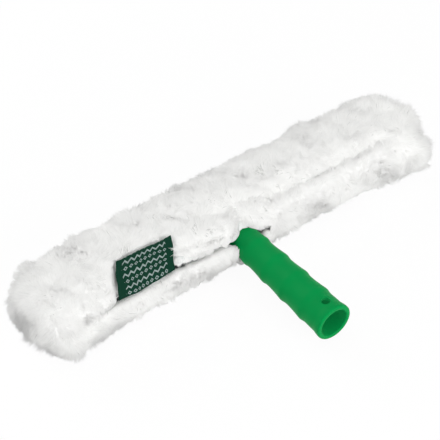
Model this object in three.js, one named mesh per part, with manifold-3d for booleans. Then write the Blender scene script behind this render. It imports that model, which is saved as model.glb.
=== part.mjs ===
// Window strip washer: a fleece sleeve with a fastening flap on a T-bar with a grip handle.
// Millimetres. +X runs along the bar, -Y along the handle to its mouth, +Z is up.
// The origin is on the rest surface, right under the crossing of the bar's axis and the handle's axis.

import * as THREE from 'three';
import Module from 'manifold-3d';
import { mergeVertices } from 'three/addons/utils/BufferGeometryUtils.js';

const wasm = await Module();
wasm.setup();

// Clearances that separate pieces share
const seatGap = 0.3;
const slideClearance = 0.6;
const cutOverrun = 5;

// T-bar: the crossbar is an extruded H section, the handle clasps it in a fork
const axisHeight = 20;
const barEndClearance = 0.5;
const barWidth = 34;
const barThickness = 14;
const barWebThickness = 1.8;
const barRailWidth = 2.6;
const barEdgeChamfer = 1.2;
const drainHoleRadius = 4;
const drainHolePitch = 24;
const drainHoleSides = 10;

// Crossbar end caps
const capPlateThickness = 3.7;
const capTongueLength = 10;
const capTongueClearance = 0.4;

// Handle: a moulded tube with finger scallops, a tapered bore and a flared mouth
const handleLength = 132.9;
const neckRadius = 12.3;
const neckEndDistance = 19;
const gripStartDistance = 42;
const gripStartRadius = 12.15;
const gripEndRadius = 14.4;
const ridgeHeight = 0.85;
const ridgePitch = 22.5;
const ridgeCount = 4;
const ridgeDropShare = 0.25;
const ridgeRiseShare = 0.35;
const ridgeRisePowerShare = 1.6;
const mouthRadius = 13.9;
const mouthFlareRadius = 15;
const mouthFlareDepth = 2;
const mouthFlareLength = 5;
const boreMouthRadius = 11.4;
const boreEndRadius = 10.5;
const boreDepth = 85;
const boreLipChamfer = 0.5;
const lockHoleRadius = 3.5;
const lockHoleSetback = 10.9;
const lockHoleSides = 16;
const turnedSides = 30;

// Fork at the inner end of the handle, and the screws through it
const forkHalfWidth = 16;
const forkWebThickness = 2.7;
const forkCheekThickness = 2.6;
const forkCheekReach = 20;
const screwSpacing = 20;
const screwSetback = 9;
const screwShankRadius = 1.9;
const screwHeadRadius = 3.6;
const screwHeadHeight = 1.6;
const screwSlotWidth = 0.9;
const screwSlotDepth = 0.8;
const screwSides = 14;
const nutAcrossFlats = 7;
const nutHeight = 3.2;
const nutSides = 6;
const screwTipLength = 0.6;

// Sleeve: one fleece cloth round the bar, closed by a sewn-in panel at each end
const sleeveLength = 365;
const sleeveWidth = 78;
const sleeveThickness = 54;
const sleeveForwardShift = 2;
const sleeveRestCut = 0.5;
const sleeveShapePowerShare = 2.4;
const sleeveOutlinePoints = 44;
const endPanelDepth = 14;
const endPanelRoundShare = 0.9;
const endPanelRoundSteps = 4;
const backCornerRadius = 28;
const backCornerSides = 36;
const cavityClearance = 0.6;

// Soft folds of the full sleeve on its top and back: waves that run along it and wind round it
const foldDepth = 3;
const longFoldLength = 96;
const longFoldTurns = 2;
const middleFoldLength = 67;
const middleFoldTurns = -3;
const shortFoldLength = 51;
const shortFoldTurns = 5;
const foldStationPitch = 12;
const foldFrontDistance = 14;
const foldRestHeight = 8;
const foldFade = 10;

// Front slit that the handle comes out of, and the hems on its two lips.
// Shares ending in WallShare are of the wall between the bar's pocket and the sleeve's front.
const slitHeight = 27.1;
const slitLeftInset = 37.5;
const slitRightInset = 34.5;
const slitOpening = 1.2;
const hemThickness = 1.2;
const hemFrontWallShare = 0.573;
const hemBackWallShare = 0.145;
const hemEyeFrontWallShare = 0.786;
const hemEyeBackWallShare = 0.274;
const hemEndInset = 4;
const grooveBottomWallShare = 0.551;
const grooveUpperLipWallShare = 0.808;
const grooveUpperLipRise = 7.6;
const grooveUpperMouthRise = 18.8;
const grooveLowerMouthDrop = 5.1;

// Closing flap on the right half: hangs over the slit and is held by a hook and loop strip
const flapLeft = 17.8;
const flapPastSlit = 1.5;
const flapInnerWallShare = 0.338;
const flapTopHeightShare = 0.815;
const flapBottomHeightShare = 0.228;
const flapBulgeHeightShare = 0.63;
const flapFrontHeightShare = 0.426;
const flapToeHeightShare = 0.278;
const flapTopWallShare = 0.744;
const flapBulgeWallShare = 0.786;
const flapFrontWallShare = 0.752;
const flapToeWallShare = 0.641;
const flapBottomWallShare = 0.513;
const flapSwingClearance = 3.3;
const flapHingeGap = 0.4;
const flapHemThickness = 1;
const flapHemWidth = 4.2;
const tapeThickness = 1.2;
const tapeGap = 0.2;
const tapeHeight = 12.6;
const tapeBottomHeight = 11.8;
const tapeEndInset = 8;
const lowerFrontWallShare = 0.573;

// Woven label on the upper lip
const labelEndInset = 70;
const labelWidth = 49;
const labelThickness = 0.9;
const labelInset = 3;
const labelBottomAngle = THREE.MathUtils.degToRad(163);
const labelTopAngle = THREE.MathUtils.degToRad(107);
const labelMargin = 1.2;
const labelSteps = 7;

// Places worked out from the sizes above
const barHalfWidth = barWidth / 2;
const barHalfThickness = barThickness / 2;
const sleeveHalfLength = sleeveLength / 2;
const cavityHalfWidth = barHalfWidth + cavityClearance;
const cavityHalfThickness = barHalfThickness + cavityClearance;
const endSeam = sleeveHalfLength - endPanelDepth;
const barHalfLength = endSeam - barEndClearance - capPlateThickness - seatGap;
const drainHolesPerArm = Math.floor((barHalfLength - forkHalfWidth) / drainHolePitch);
const slitLeftEnd = sleeveHalfLength - slitLeftInset;
const slitRightEnd = sleeveHalfLength - slitRightInset;
const grooveLeftEnd = slitLeftEnd - hemEndInset;
const flapRight = slitRightEnd + flapPastSlit;
const tapeLeft = flapLeft + tapeEndInset;
const tapeRight = flapRight - tapeEndInset;
const labelLeft = -sleeveHalfLength + labelEndInset;
const labelRight = labelLeft + labelWidth;
const sleeveFront = sleeveWidth / 2 + sleeveForwardShift;
const wallPlace = (share) => cavityHalfWidth + (sleeveFront - cavityHalfWidth) * share;
const hemFront = wallPlace(hemFrontWallShare);
const hemBack = wallPlace(hemBackWallShare);
const hemEyeFront = wallPlace(hemEyeFrontWallShare);
const hemEyeBack = wallPlace(hemEyeBackWallShare);
const flapInnerDistance = wallPlace(flapInnerWallShare);
const flapTopHeight = sleeveThickness * flapTopHeightShare;
const flapBottomHeight = sleeveThickness * flapBottomHeightShare;
const forkFront = barHalfWidth + seatGap + forkWebThickness;
const forkHalfHeight = barHalfThickness + seatGap + forkCheekThickness;
const screwY = -screwSetback + forkWebThickness;
const nutTop = axisHeight - forkHalfHeight - tapeGap;
const nutBottom = nutTop - nutHeight;
const slitHalfCut = slitOpening / 2 + hemThickness + seatGap;
const loopTapeFront = flapInnerDistance - 2 * tapeGap - tapeThickness;
const recessDistance = loopTapeFront - tapeThickness - tapeGap;
const recessBottom = flapBottomHeight - flapSwingClearance;
const eyeInnerRadius = neckRadius + ridgeHeight + slideClearance;
const eyeOuterRadius = eyeInnerRadius + hemThickness;
const handleAxis = new THREE.Vector3(0, 0, axisHeight);

// Materials
const material = (color, roughness, metalness = 0) =>
  new THREE.MeshStandardMaterial({ color, roughness, metalness });
const greenPlastic = () => material(0x00904a, 0.42);
const whiteFleece = () => material(0xf2f2f0, 0.95);
const hemTape = () => material(0xe9eeea, 0.85);

// Turns a closed geometry into a solid that can be cut and joined
function solidOf(geometry) {
  const bare = geometry.clone();
  bare.deleteAttribute('normal');
  bare.deleteAttribute('uv');
  const merged = mergeVertices(bare);
  const mesh = new wasm.Mesh({
    numProp: 3,
    vertProperties: new Float32Array(merged.attributes.position.array),
    triVerts: new Uint32Array(merged.index.array),
  });
  return new wasm.Manifold(mesh);
}

// Turns a solid back into a geometry
function geometryOf(solid) {
  const mesh = solid.getMesh();
  const geometry = new THREE.BufferGeometry();
  geometry.setAttribute('position', new THREE.BufferAttribute(mesh.vertProperties, 3));
  geometry.setIndex(new THREE.BufferAttribute(mesh.triVerts, 1));
  geometry.computeVertexNormals();
  return geometry;
}

// The body of a solid without the slivers that cuts leave where their faces coincide
function mainBody(solid) {
  return solid.decompose().reduce((most, other) => (other.volume() > most.volume() ? other : most));
}

// A block between two corners
function block(x0, x1, y0, y1, z0, z1) {
  const geometry = new THREE.BoxGeometry(x1 - x0, y1 - y0, z1 - z0);
  geometry.translate((x0 + x1) / 2, (y0 + y1) / 2, (z0 + z1) / 2);
  return solidOf(geometry);
}

// The geometry of an outline of [y, z] points extruded along X
function extruded(outline, x0, x1, options = {}) {
  const shape = new THREE.Shape(outline.map(([y, z]) => new THREE.Vector2(y, z)));
  const settings = { depth: x1 - x0, bevelEnabled: false, steps: 1, ...options };
  const geometry = new THREE.ExtrudeGeometry(shape, settings);
  const turn = new THREE.Matrix4().makeBasis(
    new THREE.Vector3(0, 1, 0),
    new THREE.Vector3(0, 0, 1),
    new THREE.Vector3(1, 0, 0),
  );
  geometry.applyMatrix4(turn);
  geometry.translate(x0, 0, 0);
  return geometry;
}

// The solid of an outline extruded along X
function alongX(outline, x0, x1) {
  return solidOf(extruded(outline, x0, x1));
}

// Turns a profile of [radius, y] points about the handle's axis
function turned(profile, sides = turnedSides) {
  const points = profile.map(([radius, y]) => new THREE.Vector2(radius, y));
  const geometry = new THREE.LatheGeometry(points, sides);
  geometry.translate(handleAxis.x, handleAxis.y, handleAxis.z);
  return solidOf(geometry);
}

// An upright cylinder about a vertical axis at x, y
function uprightPin(radius, x, y, z0, z1, sides) {
  const geometry = new THREE.CylinderGeometry(radius, radius, z1 - z0, sides);
  geometry.rotateX(Math.PI / 2);
  geometry.translate(x, y, (z0 + z1) / 2);
  return solidOf(geometry);
}

// A cylinder about the handle's axis, between two distances from the bar's axis
function handleWayCylinder(radius, nearDistance, farDistance) {
  return turned([
    [0, -farDistance],
    [radius, -farDistance],
    [radius, -nearDistance],
    [0, -nearDistance],
  ]);
}

const group = new THREE.Group();

function addPiece(name, solid, pieceMaterial) {
  const mesh = new THREE.Mesh(geometryOf(mainBody(solid)), pieceMaterial);
  mesh.name = name;
  group.add(mesh);
}

// Handle

// Radius of the grip at a distance from the bar's axis: a slow taper with finger scallops,
// each rising slowly to its ridge and dropping quickly after it
function gripRadius(distance) {
  const along = (distance - gripStartDistance) / (handleLength - gripStartDistance);
  const taper = gripStartRadius + (gripEndRadius - gripStartRadius) * along;
  const phase = ((distance - gripStartDistance) / ridgePitch) % 1;
  const drop = Math.max(0, 1 - phase / ridgeDropShare) ** 2;
  const rise = Math.max(0, (phase - ridgeRiseShare) / (1 - ridgeRiseShare)) ** ridgeRisePowerShare;
  const isPastRidges = distance > gripStartDistance + (ridgeCount - 1) * ridgePitch + ridgePitch / 2;
  return taper + ridgeHeight * (isPastRidges ? 0 : Math.max(drop, rise));
}

function handleProfile() {
  const boreEnd = handleLength - boreDepth;
  const profile = [
    [0, -boreEnd],
    [boreEndRadius, -boreEnd],
    [boreMouthRadius, -(handleLength - boreLipChamfer)],
    [boreMouthRadius + boreLipChamfer, -handleLength],
    [mouthRadius, -handleLength],
    [mouthFlareRadius, -(handleLength - mouthFlareDepth)],
    [gripEndRadius, -(handleLength - mouthFlareDepth - mouthFlareLength)],
  ];
  const phaseShares = [0.97, 0.86, 0.7, 0.5, 0.3, 0.15, 0.06, 0];
  for (let ridge = ridgeCount - 1; ridge >= 0; ridge -= 1) {
    const phases = ridge === ridgeCount - 1 ? phaseShares.slice(-4) : phaseShares;
    for (const share of phases) {
      const distance = gripStartDistance + (ridge + share) * ridgePitch;
      profile.push([gripRadius(distance), -distance]);
    }
  }
  profile.push([neckRadius, -(gripStartDistance - ridgePitch * ridgeDropShare)]);
  profile.push([neckRadius, -neckEndDistance]);
  profile.push([0, -neckEndDistance]);
  return profile;
}

function screwPlaces() {
  return [-screwSpacing / 2, screwSpacing / 2];
}

function handle() {
  const fork = block(
    -forkHalfWidth,
    forkHalfWidth,
    -forkFront,
    -forkFront + forkCheekReach,
    axisHeight - forkHalfHeight,
    axisHeight + forkHalfHeight,
  );
  const barSlot = block(
    -forkHalfWidth - cutOverrun,
    forkHalfWidth + cutOverrun,
    -barHalfWidth - seatGap,
    barHalfWidth,
    axisHeight - barHalfThickness - seatGap,
    axisHeight + barHalfThickness + seatGap,
  );
  const lockHole = uprightPin(
    lockHoleRadius,
    0,
    -(handleLength - lockHoleSetback),
    axisHeight,
    axisHeight + mouthFlareRadius + cutOverrun,
    lockHoleSides,
  );
  let solid = turned(handleProfile()).add(fork).subtract(barSlot).subtract(lockHole);
  for (const x of screwPlaces()) {
    const top = axisHeight + forkHalfHeight + cutOverrun;
    const bottom = axisHeight - forkHalfHeight - cutOverrun;
    solid = solid.subtract(uprightPin(screwShankRadius + seatGap, x, screwY, bottom, top, screwSides));
  }
  return solid;
}

addPiece('handle', handle(), greenPlastic());

// Crossbar

function barOutline() {
  const edge = barHalfWidth;
  const corner = barEdgeChamfer;
  const rail = barHalfWidth - barRailWidth;
  const high = barHalfThickness;
  const web = barWebThickness / 2;
  const quarter = [
    [edge, high - corner],
    [edge - corner, high],
    [rail, high],
    [rail, web],
  ];
  const back = quarter.map(([y, z]) => [-y, z]).reverse();
  const upper = [...quarter, ...back];
  const lower = upper.map(([y, z]) => [y, -z]).reverse();
  return [...upper, ...lower].map(([y, z]) => [y, z + axisHeight]);
}

function crossbar() {
  let solid = alongX(barOutline(), -barHalfLength, barHalfLength);
  const top = axisHeight + barThickness;
  const bottom = axisHeight - barThickness;
  for (const side of [-1, 1]) {
    for (let hole = 0; hole < drainHolesPerArm; hole += 1) {
      const x = side * (forkHalfWidth + (hole + 0.5) * drainHolePitch);
      solid = solid.subtract(uprightPin(drainHoleRadius, x, 0, bottom, top, drainHoleSides));
    }
  }
  for (const x of screwPlaces()) {
    solid = solid.subtract(uprightPin(screwShankRadius + seatGap, x, screwY, bottom, top, screwSides));
  }
  return solid;
}

addPiece('crossbar', crossbar(), material(0xb9bdc0, 0.35, 0.9));

// Crossbar end caps: a plate over the bar's end with a tongue in each channel

function endCap(side) {
  const plateOutline = [
    [barHalfWidth, barHalfThickness - barEdgeChamfer],
    [barHalfWidth - barEdgeChamfer, barHalfThickness],
    [-barHalfWidth + barEdgeChamfer, barHalfThickness],
    [-barHalfWidth, barHalfThickness - barEdgeChamfer],
    [-barHalfWidth, -barHalfThickness + barEdgeChamfer],
    [-barHalfWidth + barEdgeChamfer, -barHalfThickness],
    [barHalfWidth - barEdgeChamfer, -barHalfThickness],
    [barHalfWidth, -barHalfThickness + barEdgeChamfer],
  ].map(([y, z]) => [y, z + axisHeight]);
  const plateStart = barHalfLength + seatGap;
  let solid = alongX(plateOutline, plateStart, plateStart + capPlateThickness);
  const tongueHalfWidth = barHalfWidth - barRailWidth - capTongueClearance;
  const tongueNear = barWebThickness / 2 + capTongueClearance;
  const tongueFar = barHalfThickness - capTongueClearance;
  for (const up of [-1, 1]) {
    const heights = [axisHeight + up * tongueNear, axisHeight + up * tongueFar].sort((a, b) => a - b);
    const tongue = block(
      barHalfLength - capTongueLength,
      plateStart + capPlateThickness / 2,
      -tongueHalfWidth,
      tongueHalfWidth,
      heights[0],
      heights[1],
    );
    solid = solid.add(tongue);
  }
  return side > 0 ? solid : solid.mirror([1, 0, 0]);
}

addPiece('end_cap_left', endCap(-1), greenPlastic());
addPiece('end_cap_right', endCap(1), greenPlastic());

// Clamp screws through the fork and the bar

function clampScrew(x) {
  const headSeat = axisHeight + forkHalfHeight + tapeGap;
  const headTop = headSeat + screwHeadHeight;
  const shankEnd = nutBottom - screwTipLength;
  const shank = uprightPin(screwShankRadius, x, screwY, shankEnd, headSeat + screwHeadHeight / 2, screwSides);
  const head = uprightPin(screwHeadRadius, x, screwY, headSeat, headTop, screwSides);
  const slot = block(
    x - screwHeadRadius - cutOverrun,
    x + screwHeadRadius + cutOverrun,
    screwY - screwSlotWidth / 2,
    screwY + screwSlotWidth / 2,
    headTop - screwSlotDepth,
    headTop + cutOverrun,
  );
  return head.subtract(slot).add(shank.subtract(slot));
}

function clampNut(x) {
  const cornerRadius = nutAcrossFlats / 2 / Math.cos(Math.PI / nutSides);
  const nut = uprightPin(cornerRadius, x, screwY, nutBottom, nutTop, nutSides);
  const threadBottom = nutBottom - cutOverrun;
  const threadTop = nutTop + cutOverrun;
  const thread = uprightPin(screwShankRadius + tapeGap, x, screwY, threadBottom, threadTop, screwSides);
  return nut.subtract(thread);
}

screwPlaces().forEach((x, index) => {
  const side = index === 0 ? 'left' : 'right';
  addPiece(`clamp_screw_${side}`, clampScrew(x), material(0xc9ccd0, 0.3, 1));
  addPiece(`clamp_nut_${side}`, clampNut(x), material(0xc4c7ca, 0.35, 1));
});

// Sleeve

const sleeveCentreHeight = (sleeveThickness - sleeveRestCut) / 2;
const sleeveHalfHeight = (sleeveThickness + sleeveRestCut) / 2;
const sleeveRound = endPanelDepth * endPanelRoundShare;
const sleeveStraightHalf = sleeveHalfLength - sleeveRound;

const signedPower = (value, power) => Math.sign(value) * Math.abs(value) ** power;

// A point on the sleeve's rounded outline, or on one that lies further in by the inset
function sleeveOutlinePoint(angle, inset = 0) {
  const across = signedPower(Math.cos(angle), 2 / sleeveShapePowerShare);
  const up = signedPower(Math.sin(angle), 2 / sleeveShapePowerShare);
  const y = -sleeveForwardShift + (sleeveWidth / 2 - inset) * across;
  const z = sleeveCentreHeight + (sleeveHalfHeight - inset) * up;
  return [y, z];
}

// How far the folds draw the sleeve in at a place.
// They fade out before the slit, the rest surface and the ends.
function foldInset(x, y, z, angle) {
  const waves = [
    [longFoldLength, longFoldTurns],
    [middleFoldLength, middleFoldTurns],
    [shortFoldLength, shortFoldTurns],
  ];
  let height = 0;
  for (const [length, turns] of waves) {
    height += Math.sin((2 * Math.PI * x) / length + turns * angle) / waves.length;
  }
  const fade = (distance) => THREE.MathUtils.smoothstep(distance, 0, foldFade);
  const clearOfFront = fade(y + foldFrontDistance);
  const clearOfRest = fade(z - foldRestHeight);
  const clearOfEnds = fade(sleeveStraightHalf - Math.abs(x));
  return (foldDepth * clearOfFront * clearOfRest * clearOfEnds * (1 - height)) / 2;
}

// Draws a sleeve's geometry in at its folds
function folded(geometry) {
  const places = geometry.attributes.position;
  for (let index = 0; index < places.count; index += 1) {
    const [x, y, z] = [places.getX(index), places.getY(index), places.getZ(index)];
    const across = signedPower((y + sleeveForwardShift) / (sleeveWidth / 2), sleeveShapePowerShare / 2);
    const up = signedPower((z - sleeveCentreHeight) / sleeveHalfHeight, sleeveShapePowerShare / 2);
    const angle = Math.atan2(up, across);
    const inset = foldInset(x, y, z, angle);
    const [outerY, outerZ] = sleeveOutlinePoint(angle);
    const [innerY, innerZ] = sleeveOutlinePoint(angle, inset);
    places.setXYZ(index, x, y + innerY - outerY, z + innerZ - outerZ);
  }
  return geometry;
}

function sleeveBody() {
  const outline = [];
  for (let step = 0; step < sleeveOutlinePoints; step += 1) {
    outline.push(sleeveOutlinePoint((2 * Math.PI * step) / sleeveOutlinePoints));
  }
  const body = extruded(outline, -sleeveStraightHalf, sleeveStraightHalf, {
    bevelEnabled: true,
    bevelThickness: sleeveRound,
    bevelSize: sleeveRound,
    bevelOffset: -sleeveRound,
    bevelSegments: endPanelRoundSteps,
    steps: Math.ceil((2 * sleeveStraightHalf) / foldStationPitch),
  });
  return solidOf(folded(body)).intersect(planRoom());
}

// The room above the rest surface inside the sleeve's plan outline, whose back corners are widely rounded
function planRoom() {
  const back = sleeveWidth / 2 - sleeveForwardShift;
  const cornerX = sleeveHalfLength - backCornerRadius;
  const cornerY = back - backCornerRadius;
  const top = sleeveThickness + cutOverrun;
  const front = block(-sleeveHalfLength, sleeveHalfLength, -sleeveWidth, cornerY, 0, top);
  let room = front.add(block(-cornerX, cornerX, cornerY - cutOverrun, back, 0, top));
  for (const x of [-cornerX, cornerX]) {
    room = room.add(uprightPin(backCornerRadius, x, cornerY, 0, top, backCornerSides));
  }
  return room;
}

const sleeve = sleeveBody();

// A slab across the sleeve between two places along the bar
function sleeveSlab(x0, x1) {
  return block(x0, x1, -sleeveWidth, sleeveWidth, -cutOverrun, sleeveThickness + cutOverrun);
}

// The hems: a strip on each lip of the slit and a half eye round the neck.
// With grow above zero it gives the seat that the hem is cut into.

function hemHeights(up, grow) {
  const near = slitHeight + up * (slitOpening / 2 - grow);
  const far = slitHeight + up * (slitOpening / 2 + hemThickness + grow);
  return [Math.min(near, far), Math.max(near, far)];
}

function halfEye(up, grow) {
  const outer = handleWayCylinder(eyeOuterRadius + grow, hemEyeBack - grow, hemEyeFront + grow);
  const inner = handleWayCylinder(eyeInnerRadius, hemEyeBack - cutOverrun, hemEyeFront + cutOverrun);
  const edge = slitHeight + up * (slitOpening / 2 - grow);
  const far = slitHeight + up * sleeveThickness;
  const half = block(
    -eyeOuterRadius - cutOverrun,
    eyeOuterRadius + cutOverrun,
    -hemEyeFront - cutOverrun,
    -hemEyeBack + cutOverrun,
    Math.min(edge, far),
    Math.max(edge, far),
  );
  return outer.subtract(inner).intersect(half);
}

const eyeStripStart = Math.sqrt(eyeInnerRadius ** 2 - (slitHeight + slitOpening - axisHeight) ** 2);

function upperHem(grow) {
  const [low, high] = hemHeights(1, grow);
  const hemLeft = -slitLeftEnd + hemEndInset;
  const strip = block(hemLeft - grow, -eyeStripStart, -hemFront - grow, -hemBack + grow, low, high);
  return strip.add(halfEye(1, grow)).subtract(neckWay());
}

function lowerHem(grow) {
  const [low, high] = hemHeights(-1, grow);
  const hemLeft = -slitLeftEnd + hemEndInset;
  const hemRight = slitRightEnd - hemEndInset;
  const rightStart = flapLeft - 2 * seatGap;
  const leftStrip = block(hemLeft - grow, -eyeStripStart, -hemFront - grow, -hemBack + grow, low, high);
  const neckStrip = block(eyeStripStart, rightStart + grow, -hemFront - grow, -hemBack + grow, low, high);
  const rightStrip = block(
    rightStart - hemThickness - grow,
    hemRight + grow,
    -recessDistance,
    -cavityHalfWidth,
    low,
    high,
  );
  return leftStrip.add(neckStrip).add(rightStrip).add(halfEye(-1, grow)).subtract(neckWay());
}

// The way that the neck takes through the front of the sleeve
function neckWay() {
  return handleWayCylinder(eyeInnerRadius, barHalfWidth, sleeveWidth);
}

// The groove that the two lips make on the left half
function lipGroove() {
  const outline = [
    [-wallPlace(grooveBottomWallShare), slitHeight - slitHalfCut],
    [-wallPlace(grooveBottomWallShare), slitHeight + slitHalfCut],
    [-wallPlace(grooveUpperLipWallShare), slitHeight + grooveUpperLipRise],
    [-sleeveFront - cutOverrun, slitHeight + grooveUpperMouthRise],
    [-sleeveFront - cutOverrun, slitHeight - grooveLowerMouthDrop],
  ];
  return alongX(outline, -grooveLeftEnd, 0);
}

// A curved strip on the sleeve's front between two angles and two insets from its outline
function frontStrip(outerInset, innerInset, lowAngle, highAngle) {
  const outer = [];
  const inner = [];
  for (let step = 0; step <= labelSteps; step += 1) {
    const angle = lowAngle + ((highAngle - lowAngle) * step) / labelSteps;
    outer.push(sleeveOutlinePoint(angle, outerInset));
    inner.unshift(sleeveOutlinePoint(angle, innerInset));
  }
  return [...inner, ...outer];
}

function wovenLabel() {
  const outline = frontStrip(labelInset - labelThickness, labelInset, labelBottomAngle, labelTopAngle);
  return alongX(outline, labelLeft, labelRight);
}

function labelSeat() {
  const low = labelBottomAngle + cutOverrun / sleeveHalfHeight;
  const high = labelTopAngle - labelMargin / sleeveHalfHeight;
  const outline = frontStrip(-cutOverrun, labelInset + seatGap, low, high);
  return alongX(outline, labelLeft - labelMargin, labelRight + labelMargin);
}

function sleeveWrap() {
  const cavity = block(
    -sleeveLength,
    sleeveLength,
    -cavityHalfWidth,
    cavityHalfWidth,
    axisHeight - cavityHalfThickness,
    axisHeight + cavityHalfThickness,
  );
  const forkRoom = block(
    -forkHalfWidth - slideClearance,
    forkHalfWidth + slideClearance,
    -forkFront - slideClearance,
    -forkFront + forkCheekReach + slideClearance,
    axisHeight - forkHalfHeight - slideClearance,
    axisHeight + forkHalfHeight + slideClearance,
  );
  const fastenerReach = Math.max(screwHeadRadius, nutAcrossFlats / 2 / Math.cos(Math.PI / nutSides));
  const fastenerRoom = block(
    -screwSpacing / 2 - fastenerReach - slideClearance,
    screwSpacing / 2 + fastenerReach + slideClearance,
    screwY - fastenerReach - slideClearance,
    screwY + fastenerReach + slideClearance,
    nutBottom - screwTipLength - slideClearance,
    axisHeight + forkHalfHeight + screwHeadHeight + slideClearance,
  );
  const slit = block(
    -slitLeftEnd,
    slitRightEnd,
    -sleeveWidth,
    -cavityHalfWidth + cutOverrun,
    slitHeight - slitHalfCut,
    slitHeight + slitHalfCut,
  );
  const flapRoom = block(
    flapLeft - seatGap,
    flapRight + seatGap,
    -sleeveWidth,
    -recessDistance,
    recessBottom,
    flapTopHeight + flapHingeGap,
  );
  const lowerFrontRoom = block(
    flapLeft - seatGap,
    flapRight + seatGap,
    -sleeveWidth,
    -wallPlace(lowerFrontWallShare),
    -cutOverrun,
    recessBottom + cutOverrun,
  );
  return sleeve
    .intersect(sleeveSlab(-endSeam + seatGap / 2, endSeam - seatGap / 2))
    .subtract(cavity)
    .subtract(forkRoom)
    .subtract(fastenerRoom)
    .subtract(neckWay())
    .subtract(slit)
    .subtract(lipGroove())
    .subtract(upperHem(seatGap))
    .subtract(lowerHem(seatGap))
    .subtract(labelSeat())
    .subtract(flapRoom)
    .subtract(lowerFrontRoom);
}

function sleeveEnd(side) {
  const inner = endSeam + seatGap / 2;
  const slab = side > 0 ? sleeveSlab(inner, sleeveLength) : sleeveSlab(-sleeveLength, -inner);
  return sleeve.intersect(slab);
}

addPiece('sleeve_wrap', sleeveWrap(), whiteFleece());
addPiece('sleeve_end_left', sleeveEnd(-1), whiteFleece());
addPiece('sleeve_end_right', sleeveEnd(1), whiteFleece());
addPiece('upper_lip_hem', upperHem(0), hemTape());
addPiece('lower_lip_hem', lowerHem(0), hemTape());
addPiece('woven_label', wovenLabel(), material(0x00502f, 0.8));

// Closing flap

function closingFlap() {
  const outline = [
    [-flapInnerDistance, flapTopHeight],
    [-wallPlace(flapTopWallShare), flapTopHeight],
    [-wallPlace(flapBulgeWallShare), sleeveThickness * flapBulgeHeightShare],
    [-wallPlace(flapFrontWallShare), sleeveThickness * flapFrontHeightShare],
    [-wallPlace(flapToeWallShare), sleeveThickness * flapToeHeightShare],
    [-wallPlace(flapBottomWallShare), flapBottomHeight],
    [-flapInnerDistance, flapBottomHeight],
  ];
  return alongX(outline, flapLeft, flapRight);
}

function flapHem() {
  const top = flapBottomHeight - tapeGap;
  return block(
    flapLeft + seatGap,
    flapRight - seatGap,
    -flapInnerDistance - flapHemWidth,
    -flapInnerDistance,
    top - flapHemThickness,
    top,
  );
}

function closureTape(frontDistance) {
  return block(
    tapeLeft,
    tapeRight,
    -frontDistance,
    -frontDistance + tapeThickness,
    tapeBottomHeight,
    tapeBottomHeight + tapeHeight,
  );
}

addPiece('closing_flap', closingFlap(), whiteFleece());
addPiece('flap_hem', flapHem(), hemTape());
addPiece('hook_tape', closureTape(flapInnerDistance - tapeGap), material(0xdfe2e0, 0.8));
addPiece('loop_tape', closureTape(loopTapeFront), material(0xe6e8e6, 0.95));

export default group;
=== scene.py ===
"""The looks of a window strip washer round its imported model: a pile sleeve, a label and a green handle."""

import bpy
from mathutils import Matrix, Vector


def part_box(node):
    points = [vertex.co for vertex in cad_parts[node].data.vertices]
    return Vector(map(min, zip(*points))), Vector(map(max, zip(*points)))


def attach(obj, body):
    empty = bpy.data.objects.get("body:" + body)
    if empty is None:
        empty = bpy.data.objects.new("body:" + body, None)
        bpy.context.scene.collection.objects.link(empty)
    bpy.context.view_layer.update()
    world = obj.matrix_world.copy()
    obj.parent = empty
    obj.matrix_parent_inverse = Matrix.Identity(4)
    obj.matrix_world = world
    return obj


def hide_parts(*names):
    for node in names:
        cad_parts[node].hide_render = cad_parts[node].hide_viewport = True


bl_info = {
    "name": "Window strip washer",
    "version": (1, 0, 0),
    "blender": (4, 5, 0),
    "location": "View3D > Sidebar > Washer",
    "description": "Adds the pile sleeve, handle, label and stage of a window strip washer",
    "category": "Object",
}

import math

import bmesh
import bpy
import numpy as np
from bpy.props import FloatProperty, FloatVectorProperty, PointerProperty
from mathutils import Matrix, Vector, kdtree

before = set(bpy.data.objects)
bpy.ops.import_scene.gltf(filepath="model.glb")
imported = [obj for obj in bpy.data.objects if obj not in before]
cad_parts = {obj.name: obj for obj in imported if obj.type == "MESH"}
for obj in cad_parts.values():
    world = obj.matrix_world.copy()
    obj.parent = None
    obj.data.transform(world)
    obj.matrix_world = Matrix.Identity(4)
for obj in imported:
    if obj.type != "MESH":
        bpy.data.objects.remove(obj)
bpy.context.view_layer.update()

MM = 0.001
X, Y, Z = 0, 1, 2
# How close points are, in millimetres, to be merged: on cloth, and on moulded shapes
WELD, FINE_WELD = 0.01, 0.001
WRAP_LOW, WRAP_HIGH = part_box("sleeve_wrap")
END_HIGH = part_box("sleeve_end_right")[1]

# Places in millimetres, read from the frame
AXIS_HEIGHT = (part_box("crossbar")[0].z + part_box("crossbar")[1].z) / 2 / MM
MOUTH_DISTANCE = -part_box("handle")[0].y / MM
HALF_LENGTH = END_HIGH.x / MM
SLEEVE_HALF_WIDTH = (WRAP_HIGH.y - WRAP_LOW.y) / 2 / MM
SLEEVE_MIDDLE = (WRAP_HIGH.y + WRAP_LOW.y) / 2 / MM
SLEEVE_HEIGHT = END_HIGH.z / MM
END_SEAM = WRAP_HIGH.x / MM
FLAP_LEFT, FLAP_RIGHT = (corner.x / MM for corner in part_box("closing_flap"))

# The label's weave, in metres like its map, with the thread in millimetres
LABEL_WIDTH, LABEL_HEIGHT = 0.049, 0.028
LABEL_SELVEDGE = 0.0055
LABEL_THREAD = 0.7
ZIGZAG_LENGTH, LOZENGE_LENGTH = 0.005, 0.0042
# The motifs within a row, as shares of its height
ZIGZAG_FOOT, ZIGZAG_RISE, ZIGZAG_WIDTH = 0.22, 0.5, 0.15
LOZENGE_HOLE, LOZENGE_EDGE, LOZENGE_SLOPE = 0.15, 0.32, 0.84


# Small tools

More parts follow.
